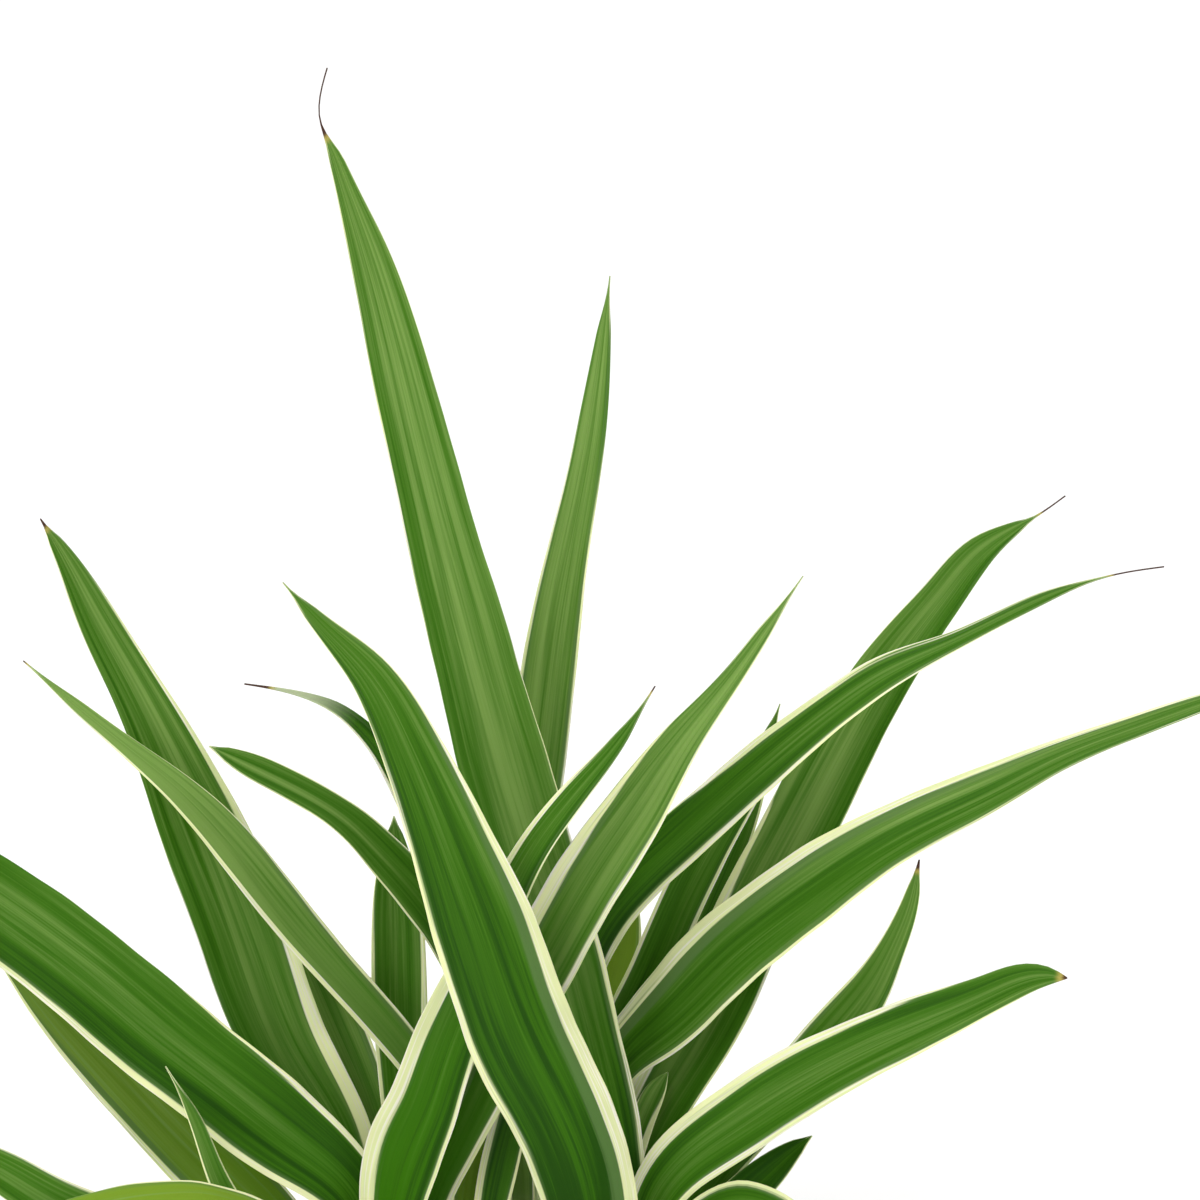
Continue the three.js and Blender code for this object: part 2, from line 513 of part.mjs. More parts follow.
function largestBody(solid) {
  return solid.decompose().reduce((a, b) => (b.volume() > a.volume() ? b : a));
}

// A crown: a low dome with a root stub in the compost, and a socket for each leaf's foot.
function makeCrown(name, leaves) {
  let crown = crownSolid(name);
  for (const leaf of leaves.filter((l) => l.crown === name)) {
    crown = crown.subtract(solidOf(bladeMesh(leaf, SOCKET_GAP, OPENING)));
  }
  return geometryFromSolid(largestBody(crown));
}

// The level direction from a leaf's middle back towards its foot.
function inwardOf(route) {
  const foot = route[0];
  const middle = route[Math.floor(route.length / 2)];
  return new THREE.Vector3(foot[0] - middle[0], foot[1] - middle[1], 0).normalize();
}

function makeLeaf(name, crown, drawn, facing, route) {
  return { name, crown, drawn, facing, inward: inwardOf(route), curve: leastBending(route) };
}

function allLeaves() {
  const drawn = DRAWN_LEAVES.map(([name, crown, seat, facing, route]) =>
    makeLeaf(name, crown, true, facing, [...footOf(crown, seat), ...route.map(seen)]),
  );
  const arched = ARCHED_LEAVES.map(([name, crown, seat, ...arch]) =>
    makeLeaf(name, crown, false, 0, [...footOf(crown, seat), ...archRoute(crown, seat, ...arch)]),
  );
  return [...drawn, ...arched];
}

const CLAY = new THREE.MeshStandardMaterial({ color: 0xb5643c, roughness: 0.85, metalness: 0 });
const COMPOST = new THREE.MeshStandardMaterial({ color: 0x2b2019, roughness: 1, metalness: 0 });
const CROWN_TISSUE = new THREE.MeshStandardMaterial({ color: 0xb9c795, roughness: 0.6, metalness: 0 });
const BLADE = new THREE.MeshStandardMaterial({ color: 0x3f7a22, roughness: 0.45, metalness: 0 });

function add(group, name, geometry, material) {
  const mesh = new THREE.Mesh(geometry, material.clone());
  mesh.name = name;
  group.add(mesh);
}

const plant = new THREE.Group();
plant.name = "potted_spider_plant";
const leaves = allLeaves();
add(plant, "pot", makePot(), CLAY);
add(plant, "compost", makeSoil(), COMPOST);
for (const name of Object.keys(CROWNS)) add(plant, "crown_" + name, makeCrown(name, leaves), CROWN_TISSUE);
for (const leaf of leaves) add(plant, leaf.name, bladeMesh(leaf), BLADE);

export default plant;
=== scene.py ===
"""A potted spider plant: variegated strap leaves on five crowns, in compost, in a plain clay pot."""

import logging
import math
from collections.abc import Sequence
from dataclasses import dataclass, field
from enum import Enum

import bmesh
import bpy
import numpy as np
from mathutils import Matrix


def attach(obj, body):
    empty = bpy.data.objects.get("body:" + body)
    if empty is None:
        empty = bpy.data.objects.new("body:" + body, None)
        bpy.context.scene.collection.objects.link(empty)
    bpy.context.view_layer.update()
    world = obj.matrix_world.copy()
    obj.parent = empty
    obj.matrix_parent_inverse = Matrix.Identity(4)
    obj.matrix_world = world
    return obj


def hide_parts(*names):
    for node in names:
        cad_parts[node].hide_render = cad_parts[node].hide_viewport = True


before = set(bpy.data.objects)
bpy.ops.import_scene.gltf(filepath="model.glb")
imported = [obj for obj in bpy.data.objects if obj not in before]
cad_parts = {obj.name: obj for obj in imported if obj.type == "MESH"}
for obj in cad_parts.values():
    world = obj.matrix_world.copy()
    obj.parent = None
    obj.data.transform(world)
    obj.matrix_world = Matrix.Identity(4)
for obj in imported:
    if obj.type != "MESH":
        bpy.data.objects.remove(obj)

log = logging.getLogger("spider_plant")

Array = np.ndarray
Socket = bpy.types.NodeSocket
Colour = tuple[float, float, float, float]
Span = tuple[float, float]

MM = 0.001
BODY = "root"

# The eye that the leaves are drawn for, in millimetres and degrees: its place follows from these.
EYE_TILT = math.radians(32)
EYE_DISTANCE = 850.0
EYE_AXIS_RIGHT = 20.0
EYE_AXIS_UP = 175.0
DRAWN_LIFT = 36.0  # the drawn routes' level is this far above the compost
EYE_FIELD = 300.0  # the width that the picture shows at the pot's axis
SENSOR = 36.0

SOIL_LEVEL = 112.0
SKY = np.array([0.0, 0.0, 1.0])
EYE_RIGHT = np.array([1.0, 0.0, 0.0])
EYE_UP = np.array([0.0, math.sin(EYE_TILT), math.cos(EYE_TILT)])
EYE_AWAY = np.array([0.0, math.cos(EYE_TILT), -math.sin(EYE_TILT)])
EYE_TARGET = (SOIL_LEVEL + DRAWN_LIFT) * SKY + EYE_AXIS_RIGHT * EYE_RIGHT + EYE_AXIS_UP * EYE_UP

NOISE_MEAN = 0.5
SEED_STEP = 17.0  # how far apart the noise is read for seeds 1 apart


def paint(red: float, green: float, blue: float) -> Colour:
    """Turns a screen colour, 0 to 255 a channel, into the linear colour that shaders take.

    Args:
        red: The red channel.
        green: The green channel.
        blue: The blue channel.

    Returns:
        The linear colour, with an alpha of 1.
    """
    channels = np.array([red, green, blue]) / 255.0
    linear = np.where(channels <= 0.04045, channels / 12.92, ((channels + 0.055) / 1.055) ** 2.4)
    return (*linear.tolist(), 1.0)


def ease(values: Array, low: float, high: float) -> Array:
    """Returns 0 under low and 1 over high, and between them 3t^2 - 2t^3 of the share t of the way."""
    share = np.clip((values - low) / (high - low), 0.0, 1.0)
    return share * share * (3.0 - 2.0 * share)


def unit(vectors: Array) -> Array:
    """Returns the vectors, one a row, each a unit long."""
    return vectors / np.linalg.norm(vectors, axis=-1, keepdims=True)


def dot(a: Array, b: Array) -> Array:
    """Returns the dot product of each row of a with b's, as a column."""
    return np.sum(a * b, axis=-1, keepdims=True)


def compass(degrees: float | Array) -> Array:
    """Returns the level unit vector that lies so many degrees from +X towards +Y."""
    turn = np.radians(degrees)
    return np.stack([np.cos(turn), np.sin(turn), np.zeros_like(turn)], axis=-1)


def full_turn(sides: int) -> Array:
    """Returns so many angles, in radians, evenly round a circle."""
    return np.linspace(0.0, 2 * math.pi, sides, endpoint=False)


def distances(points: Array) -> Array:
    """Returns how far along a line of points each of them lies."""
    return np.concatenate([[0.0], np.cumsum(np.linalg.norm(np.diff(points, axis=0), axis=1))])


class Streak(Enum):
    """The lengthwise streaks: their width and length in millimetres, and their noise's detail."""

    BANDS = (3.2, 120.0, 3.0)
    VEINS = (1.2, 70.0, 2.0)
    THREADS = (0.4, 36.0, 1.0)


class Mark(Enum):
    """The marks of a mineral surface: how many to the metre, and their noise's detail and roughness."""

    PATCHES = (26.0, 5.0, 0.6)
    SPECKS = (420.0, 2.0, 0.6)
    GRIT = (1600.0, 3.0, 0.6)


class Sheet:
    """A node tree that is being drawn, with a short call for each kind of node that it needs."""

    def __init__(self, tree: bpy.types.NodeTree) -> None:
        """Starts drawing on the tree."""
        self.tree = tree

    def feed(self, socket: Socket, value: object) -> None:
        """Links the value to the socket if it is a socket itself, or else sets it there.

        Args:
            socket: The input.
            value: What feeds it.
        """
        if isinstance(value, bpy.types.NodeSocket):
            self.tree.links.new(value, socket)
        else:
            socket.default_value = value

    def add(
        self, kind: str, inputs: dict[str | int, object] | None = None, **settings: object
    ) -> bpy.types.Node:
        """Adds a node.

        Args:
            kind: The node's Blender type.
            inputs: What feeds each named or numbered input.
            **settings: The node's own properties.

        Returns:
            The node.
        """
        node = self.tree.nodes.new(kind)
        for key, value in settings.items():
            setattr(node, key, value)
        for key, value in (inputs or {}).items():
            self.feed(node.inputs[key], value)
        return node

    def math(self, operation: str, a: object, b: object = 0.0, c: object = 0.0) -> Socket:
        """Returns the result of a Math node on up to three values."""
        return self.add("ShaderNodeMath", {0: a, 1: b, 2: c}, operation=operation).outputs[0]

    def ease(self, value: object, low: object, high: object) -> Socket:
        """Returns 0 where the value is under low and 1 where it is over high, eased between them."""
        inputs = {"Value": value, "From Min": low, "From Max": high}
        return self.add("ShaderNodeMapRange", inputs, interpolation_type="SMOOTHSTEP").outputs[0]

    def stray(self, value: object, noise: Socket, reach: float) -> Socket:
        """Returns the value moved by reach x (noise - its mean), so that an edge read from it wanders."""
        return self.math("MULTIPLY_ADD", self.math("SUBTRACT", noise, NOISE_MEAN), reach, value)

    def mix(self, a: object, b: object, share: object) -> Socket:
        """Returns colour a mixed with colour b by the share of b."""
        return self.add("ShaderNodeMix", {0: share, 6: a, 7: b}, data_type="RGBA").outputs[2]

    def lay(self, colour: Socket, over: object, share: Socket, most: object) -> Socket:
        """Returns the colour with another laid over it, by a share of the most that it covers."""
        return self.mix(colour, over, self.math("MULTIPLY", share, most))

    def blend(self, a: object, b: object, share: object) -> Socket:
        """Returns value a mixed with value b by the share of b."""
        return self.add("ShaderNodeMix", {0: share, 2: a, 3: b}, data_type="FLOAT").outputs[0]

    def vector(self, x: object, y: object, z: object) -> Socket:
        """Returns the vector of three values."""
        return self.add("ShaderNodeCombineXYZ", {0: x, 1: y, 2: z}).outputs[0]

    def stretch(self, vector: Socket, factors: tuple[float, float, float]) -> Socket:
        """Returns the vector with each axis multiplied by its factor."""
        return self.add("ShaderNodeVectorMath", {0: vector, 1: factors}, operation="MULTIPLY").outputs[0]

    def noise(self, vector: Socket, scale: float, detail: float = 2.0, rough: float = 0.5) -> Socket:
        """Returns a noise value, about 0.5 on average, at the vector."""
        inputs = {"Vector": vector, "Scale": scale, "Detail": detail, "Roughness": rough}
        return self.add("ShaderNodeTexNoise", inputs).outputs[0]

    def read(self, name: str) -> Socket:
        """Returns a number that the piece's mesh holds at each vertex."""
        return self.add("ShaderNodeAttribute", attribute_name=name).outputs["Fac"]

    def place(self) -> Socket:
        """Returns the place on the piece, in metres."""
        return self.add("ShaderNodeTexCoord").outputs["Object"]

    def streaks(self, veins: bpy.types.NodeTree) -> list[Socket]:
        """Returns the bands, veins and threads, from the numbers that the mesh holds for them."""
        numbers = {label: self.read(label.lower()) for label in ("Across", "Along", "Seed")}
        return list(self.add("ShaderNodeGroup", numbers, node_tree=veins).outputs)

    def marks(self, mottle: bpy.types.NodeTree, place: Socket) -> list[Socket]:
        """Returns the patches, specks and grit at the place."""
        return list(self.add("ShaderNodeGroup", {"Place": place}, node_tree=mottle).outputs)

    def bump(self, height: Socket, strength: float, depth: float) -> Socket:
        """Returns the normal that a height gives, with its depth in metres."""
        inputs = {"Height": height, "Strength": strength, "Distance": depth}
        return self.add("ShaderNodeBump", inputs).outputs[0]

    def dress(self, shader: bpy.types.Node, colour: Socket, rough: Socket, normal: Socket) -> None:
        """Feeds a shader its colour, roughness and normal."""
        for name, value in (("Base Color", colour), ("Roughness", rough), ("Normal", normal)):
            self.feed(shader.inputs[name], value)


def new_material(name: str) -> tuple[bpy.types.Material, Sheet, bpy.types.Node]:
    """Makes a material with one Principled shader.

    Args:
        name: The material's name.

    Returns:
        The material, the sheet to draw its nodes on, and the shader.
    """
    material = bpy.data.materials.new(name)
    material.use_nodes = True
    material.node_tree.nodes.clear()
    sheet = Sheet(material.node_tree)
    shader = sheet.add("ShaderNodeBsdfPrincipled")
    sheet.add("ShaderNodeOutputMaterial", {"Surface": shader.outputs[0]})
    return material, sheet, shader


def new_group(
    name: str, inputs: Sequence[str], outputs: type[Enum]
) -> tuple[bpy.types.NodeTree, Sheet, dict[str, Socket], bpy.types.Node]:
    """Makes a shader node group.

    Args:
        name: The group's name.
        inputs: The names of its inputs; one named Place is a vector, and the others are values.
        outputs: The kinds of mark that it gives, a value for each.

    Returns:
        The group, the sheet to draw on, its inputs inside, and its output node.
    """
    tree = bpy.data.node_groups.new(name, "ShaderNodeTree")
    for label in inputs:
        kind = "NodeSocketVector" if label == "Place" else "NodeSocketFloat"
        tree.interface.new_socket(label, in_out="INPUT", socket_type=kind)
    for mark in outputs:
        tree.interface.new_socket(mark.name.title(), in_out="OUTPUT", socket_type="NodeSocketFloat")
    sheet = Sheet(tree)
    entry = sheet.add("NodeGroupInput")
    leave = sheet.add("NodeGroupOutput")
    return tree, sheet, {label: entry.outputs[label] for label in inputs}, leave


def parallel_veins() -> bpy.types.NodeTree:
    """Makes the group for the lengthwise streaks of a strap leaf.

    The streaks are noise on (across / width, along / length), so they run with the blade and meet
    where it narrows. Across and Along are millimetres.

    Returns:
        The group, with an output for each kind of streak, about 0.5 on average.
    """
    tree, sheet, given, leave = new_group("parallel_veins", ("Across", "Along", "Seed"), Streak)
    for streak in Streak:
        width, length, detail = streak.value
        across = sheet.math("DIVIDE", given["Across"], width)
        along = sheet.math("DIVIDE", given["Along"], length)
        seed = sheet.math("MULTIPLY_ADD", given["Seed"], SEED_STEP, width)
        value = sheet.noise(sheet.vector(across, along, seed), 1.0, detail)
        sheet.feed(leave.inputs[streak.name.title()], value)
    return tree


def mottling() -> bpy.types.NodeTree:
    """Makes the group for uneven colour and fine grain on a mineral surface.

    Returns:
        The group, with an output for each kind of mark, about 0.5 on average.
    """
    tree, sheet, given, leave = new_group("mottling", ("Place",), Mark)
    for mark in Mark:
        sheet.feed(leave.inputs[mark.name.title()], sheet.noise(given["Place"], *mark.value))
    return tree


@dataclass(frozen=True)
class LeafFinish:
    """The variegated blade: streaked green, cream margins, a pale foot and a dried tip.

    A span says where a colour begins and where it is full: on the streaks' value, or in millimetres for
    an edge. A stray is how many millimetres the streaks move that edge. Relief is the bump's strength
    and its depth in metres, as in the other finishes.
    """

    dark: Colour = paint(32, 73, 6)
    middle: Colour = paint(57, 105, 13)
    # light: the pale streak green, with a bluish-grey cast that is a painted sheen
    light: Colour = paint(119, 151, 74)
    vivid: Colour = paint(50, 106, 0)
    sage: Colour = paint(88, 118, 64)
    cream: Colour = paint(214, 220, 164)
    butter: Colour = paint(232, 236, 178)
    white: Colour = paint(232, 229, 212)
    olive: Colour = paint(116, 146, 38)
    under: Colour = paint(176, 186, 150)
    dried: Colour = paint(74, 49, 40)
    yellowed: Colour = paint(176, 160, 84)
    foot: Colour = paint(206, 216, 168)
    start: float = -0.03
    strengths: tuple[float, float, float, float] = (0.95, 0.5, 0.36, 0.32)
    middle_span: Span = (0.56, 0.95)
    vivid_span: Span = (0.6, 0.95)
    light_span: Span = (0.84, 1.48)
    olive_span: Span = (0.5, 0.8)
    sage_span: Span = (-0.5, 0.7)
    sage_stray: float = 3.0
    sage_most: float = 0.8
    cream_span: Span = (-0.1, 0.28)
    cream_stray: float = 1.6
    butter_span: Span = (0.42, 0.6)
    white_span: Span = (0.5, 0.66)
    tinge_span: Span = (0.6, 0.74)
    tinge_most: float = 0.45
    foot_span: Span = (5.0, 34.0)
    dry_stray: float = 2.0
    yellowed_span: Span = (0.0, 2.2)
    dried_span: Span = (-0.6, 0.6)
    rough: Span = (0.42, 0.58)
    pale_rough: float = 0.7
    band_relief: float = 0.5
    relief: tuple[float, float] = (0.35, 0.25 * MM)
    specular: float = 0.11
    refraction: float = 1.4
    glow: float = 0.12
    glow_colours: tuple[float, float, float] = (0.4, 1.0, 0.15)
    glow_depth: float = 1.0 * MM

    def green(self, sheet: Sheet, streaks: Sequence[Socket]) -> Socket:
        """Mixes the streaks of green.

        They are ranged by start + the sum of each streak's value, and then the leaf's tone, times its
        strength: from dark through middle to light, with the vivid green over them.

        Args:
            sheet: The sheet to draw on.
            streaks: The bands, veins and threads.

        Returns:
            The colour.
        """
        value = self.start
        # the tone read here holds painted shade at the foot and a painted sheen at the tip
        for streak, strength in zip((*streaks, sheet.read("tone")), self.strengths):
            value = sheet.math("MULTIPLY_ADD", streak, strength, value)
        colour = sheet.mix(self.dark, self.middle, sheet.ease(value, *self.middle_span))
        colour = sheet.mix(colour, self.light, sheet.ease(value, *self.light_span))
        return sheet.lay(colour, self.vivid, sheet.read("vivid"), sheet.ease(value, *self.vivid_span))

    def margins(self, sheet: Sheet, colour: Socket, streaks: Sequence[Socket]) -> Socket:
        """Lays the cream margins, and the grey-green band inside them, over the green.

        Args:
            sheet: The sheet to draw on.
            colour: The green.
            streaks: The bands, veins and threads.

        Returns:
            The colour.
        """
        bands, veins, threads = streaks
        beyond = sheet.stray(sheet.read("beyond"), veins, self.sage_stray)
        grey = sheet.math("SUBTRACT", 1.0, sheet.ease(beyond, *self.sage_span))
        colour = sheet.lay(colour, self.sage, grey, self.sage_most)
        inside = sheet.stray(sheet.read("inside"), veins, self.cream_stray)
        cream = sheet.mix(self.cream, self.butter, sheet.ease(bands, *self.butter_span))
        cream = sheet.mix(cream, self.white, sheet.ease(threads, *self.white_span))
        cream = sheet.lay(cream, self.sage, sheet.ease(veins, *self.tinge_span), self.tinge_most)
        return sheet.mix(cream, colour, sheet.ease(inside, *self.cream_span))

    def material(self, veins: bpy.types.NodeTree) -> bpy.types.Material:
        """Makes the material.

        Args:
            veins: The group for the lengthwise streaks.

        Returns:
            The material.
        """
        material, sheet, shader = new_material("variegated_leaf")
        streaks = sheet.streaks(veins)
        bands, fine, _ = streaks
        colour = self.green(sheet, streaks)
        olive = sheet.mix(self.olive, self.light, sheet.ease(fine, *self.olive_span))
        colour = sheet.mix(colour, olive, sheet.read("olive"))
        colour = self.margins(sheet, colour, streaks)
        colour = sheet.mix(self.foot, colour, sheet.ease(sheet.read("along"), *self.foot_span))
        colour = sheet.mix(colour, self.under, sheet.read("pale"))
        to_dry = sheet.stray(sheet.read("to_dry"), fine, self.dry_stray)
        colour = sheet.mix(self.yellowed, colour, sheet.ease(to_dry, *self.yellowed_span))
        colour = sheet.mix(self.dried, colour, sheet.ease(to_dry, *self.dried_span))
        rough = sheet.blend(sheet.blend(*self.rough, fine), self.pale_rough, sheet.read("pale"))
        height = sheet.math("MULTIPLY_ADD", bands, self.band_relief, fine)
        sheet.dress(shader, colour, rough, sheet.bump(height, *self.relief))
        shader.inputs["Specular IOR Level"].default_value = self.specular
        shader.inputs["Subsurface Weight"].default_value = self.glow
        shader.inputs["Subsurface Radius"].default_value = self.glow_colours
        shader.inputs["Subsurface Scale"].default_value = self.glow_depth
        shader.inputs["IOR"].default_value = self.refraction
        return material


@dataclass(frozen=True)
class CrownFinish:
    """The pale tissue that the leaves grow from, browned where it meets the compost."""

    pale: Colour = paint(208, 216, 172)
    green: Colour = paint(138, 166, 92)
    brown: Colour = paint(112, 84, 54)
    green_span: Span = (0.42, 0.7)
    brown_span: Span = (-1.0, 6.5)
    brown_stray: float = 5.0
    rough: Span = (0.45, 0.7)
    relief: tuple[float, float] = (0.5, 0.4 * MM)
    glow: float = 0.1
    glow_depth: float = 2.0 * MM

    def material(self, veins: bpy.types.NodeTree) -> bpy.types.Material:
        """Makes the material.

        Args:
            veins: The group for the lengthwise streaks.

        Returns:
            The material.
        """
        material, sheet, shader = new_material("crown_tissue")
        _, fine, _ = sheet.streaks(veins)
        colour = sheet.mix(self.pale, self.green, sheet.ease(fine, *self.green_span))
        height = sheet.stray(sheet.read("above"), fine, self.brown_stray)
        colour = sheet.mix(self.brown, colour, sheet.ease(height, *self.brown_span))
        sheet.dress(shader, colour, sheet.blend(*self.rough, fine), sheet.bump(fine, *self.relief))
        shader.inputs["Subsurface Weight"].default_value = self.glow
        shader.inputs["Subsurface Scale"].default_value = self.glow_depth
        return material


@dataclass(frozen=True)
class ClayFinish:
    """Unglazed fired clay with throwing lines, darker specks and a bloom of white salts near the rim."""

    light: Colour = paint(201, 122, 82)
    deep: Colour = paint(168, 92, 57)
    speck: Colour = paint(124, 62, 38)
    salt: Colour = paint(222, 196, 176)
    light_span: Span = (0.36, 0.64)
    line_stretch: tuple[float, float, float] = (0.15, 0.15, 1.0)
    line_scale: float = 520.0
    line_span: Span = (0.5, 0.75)
    line_most: float = 0.35
    speck_span: Span = (0.64, 0.72)
    speck_most: float = 0.7
    salt_noise: tuple[float, float, float] = (38.0, 6.0, 0.65)
    salt_span: Span = (0.55, 0.72)
    salt_most: Span = (0.25, 0.6)
    rim_span: Span = (50 * MM, 100 * MM)
    rough: Span = (0.78, 0.94)
    line_relief: float = 1.2
    speck_relief: float = 0.5
    relief: tuple[float, float] = (0.5, 0.25 * MM)

    def material(self, mottle: bpy.types.NodeTree) -> bpy.types.Material:
        """Makes the material.

        Args:
            mottle: The group for uneven colour and grain.

        Returns:
            The material.
        """
        material, sheet, shader = new_material("fired_clay")
        place = sheet.place()
        patches, specks, grit = sheet.marks(mottle, place)
        lines = sheet.noise(sheet.stretch(place, self.line_stretch), self.line_scale)
        colour = sheet.mix(self.deep, self.light, sheet.ease(patches, *self.light_span))
        colour = sheet.lay(colour, self.deep, sheet.ease(lines, *self.line_span), self.line_most)
        colour = sheet.lay(colour, self.speck, sheet.ease(specks, *self.speck_span), self.speck_most)
        level = sheet.add("ShaderNodeSeparateXYZ", {0: place}).outputs["Z"]
        most = sheet.blend(*self.salt_most, sheet.ease(level, *self.rim_span))
        bloom = sheet.ease(sheet.noise(place, *self.salt_noise), *self.salt_span)
        colour = sheet.lay(colour, self.salt, bloom, most)
        height = sheet.math("MULTIPLY_ADD", lines, self.line_relief, grit)
        height = sheet.math("MULTIPLY_ADD", specks, self.speck_relief, height)
        rough = sheet.blend(*self.rough, patches)
        sheet.dress(shader, colour, rough, sheet.bump(height, *self.relief))
        return material


@dataclass(frozen=True)
class CompostFinish:
    """Dark, damp compost of crumbs and fibres."""

    damp: Colour = paint(28, 20, 15)
    dry: Colour = paint(72, 53, 38)
    fibre: Colour = paint(112, 84, 56)
    dry_span: Span = (0.4, 0.72)
    damp_span: Span = (0.45, 0.6)
    fibre_span: Span = (0.62, 0.7)
    most: float = 0.6
    rough: Span = (0.8, 1.0)
    speck_relief: float = 2.0
    relief: tuple[float, float] = (0.9, 0.6 * MM)

    def material(self, mottle: bpy.types.NodeTree) -> bpy.types.Material:
        """Makes the material.

        Args:
            mottle: The group for uneven colour and grain.

        Returns:
            The material.
        """
        material, sheet, shader = new_material("damp_compost")
        patches, specks, grit = sheet.marks(mottle, sheet.place())
        colour = sheet.mix(self.damp, self.dry, sheet.ease(specks, *self.dry_span))
        colour = sheet.lay(colour, self.damp, sheet.ease(patches, *self.damp_span), self.most)
        colour = sheet.lay(colour, self.fibre, sheet.ease(grit, *self.fibre_span), self.most)
        height = sheet.math("MULTIPLY_ADD", specks, self.speck_relief, grit)
        rough = sheet.blend(*self.rough, specks)
        sheet.dress(shader, colour, rough, sheet.bump(height, *self.relief))
        return material


@dataclass(frozen=True)
class BarkFinish:
    """Bark chips and perlite, told apart by the number called kind on each chip."""

    bark: Colour = paint(92, 60, 38)
    worn: Colour = paint(146, 108, 74)
    perlite: Colour = paint(222, 220, 212)
    worn_span: Span = (0.4, 0.7)
    bark_most: float = 0.6
    perlite_span: Span = (0.9, 0.91)
    rough: Span = (0.75, 0.95)
    relief: tuple[float, float] = (0.6, 0.3 * MM)

    def material(self, mottle: bpy.types.NodeTree) -> bpy.types.Material:
        """Makes the material.

        Args:
            mottle: The group for uneven colour and grain.

        Returns:
            The material.
        """
        material, sheet, shader = new_material("bark_and_perlite")
        _, specks, grit = sheet.marks(mottle, sheet.place())
        kind = sheet.read("kind")
        colour = sheet.mix(self.bark, self.worn, sheet.ease(specks, *self.worn_span))
        colour = sheet.lay(colour, self.bark, kind, self.bark_most)
        colour = sheet.mix(colour, self.perlite, sheet.ease(kind, *self.perlite_span))
        rough = sheet.blend(*self.rough, grit)
        sheet.dress(shader, colour, rough, sheet.bump(specks, *self.relief))
        return material


def put(name: str, data: bpy.types.ID) -> bpy.types.Object:
    """Puts a new object in the scene.

    Args:
        name: The object's name.
        data: The mesh, lamp or camera that it holds.

    Returns:
        The object.
    """
    thing = bpy.data.objects.new(name, data)
    bpy.context.scene.collection.objects.link(thing)
    return thing


def set_numbers(mesh: bpy.types.Mesh, numbers: dict[str, Array | float]) -> None:
    """Stores named numbers on a mesh's vertices, for its material to read.

    Args:
        mesh: The mesh.
        numbers: One value a vertex, or one for all, under each name.
    """
    count = len(mesh.vertices)
    for name, values in numbers.items():
        column = np.broadcast_to(np.asarray(values, dtype=np.float32), (count,))
        mesh.attributes.new(name, "FLOAT", "POINT").data.foreach_set("value", column.copy())


def add_piece(
    name: str, mesh: bpy.types.Mesh, finish: bpy.types.Material, nodes: Sequence[str]
) -> None:
    """Puts a mesh in the scene as a piece of the object.

    Args:
        name: The piece's name.
        mesh: Its mesh, in metres, in place.
        finish: Its material.
        nodes: The CAD nodes that it stands for.
    """
    mesh.materials.append(finish)
    piece = put(name, mesh)
    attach(piece, BODY)
    if nodes:
        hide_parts(*nodes)
    log.info("%s: %d faces", name, len(mesh.polygons))


def outward(mesh: bpy.types.Mesh) -> None:
    """Turns every face of a closed mesh outwards.

    Args:
        mesh: The mesh.
    """
    work = bmesh.new()
    work.from_mesh(mesh)
    bmesh.ops.recalc_face_normals(work, faces=work.faces)
    work.to_mesh(mesh)
    work.free()


def ring_faces(rings: int, sides: int) -> Array:
    """Lists the four-cornered faces between rings whose corners are numbered in a row.

    Args:
        rings: How many rings.
        sides: How many corners each has.

    Returns:
        The corners of each face.
    """
    start = np.arange(rings - 1)[:, None] * sides
    here = np.arange(sides)[None, :]
    after = (here + 1) % sides
    corners = [start + here, start + after, start + sides + after, start + sides + here]
    return np.stack(np.broadcast_arrays(*corners), axis=-1).reshape(-1, 4)


def closed_tube(name: str, rings: Array) -> bpy.types.Mesh:
    """Makes a smooth closed mesh from rings of points, with a fan of triangles over each end.

    Args:
        name: The mesh's name.
        rings: The points, in millimetres, as rings x sides x 3.

    Returns:
        The mesh, in metres. Its last two vertices are the middles of the ends.
    """
    count, sides = rings.shape[:2]
    ends = np.stack([rings[0].mean(axis=0), rings[-1].mean(axis=0)])
    points = np.concatenate([rings.reshape(-1, 3), ends]) * MM
    here = np.arange(sides)
    after = (here + 1) % sides
    first = np.stack([np.full(sides, count * sides), after, here], axis=-1)
    base = (count - 1) * sides
    last = np.stack([np.full(sides, count * sides + 1), base + here, base + after], axis=-1)
    mesh = bpy.data.meshes.new(name)
    faces = ring_faces(count, sides).tolist() + first.tolist() + last.tolist()
    mesh.from_pydata(points.tolist(), [], faces)
    outward(mesh)
    mesh.shade_smooth()
    return mesh


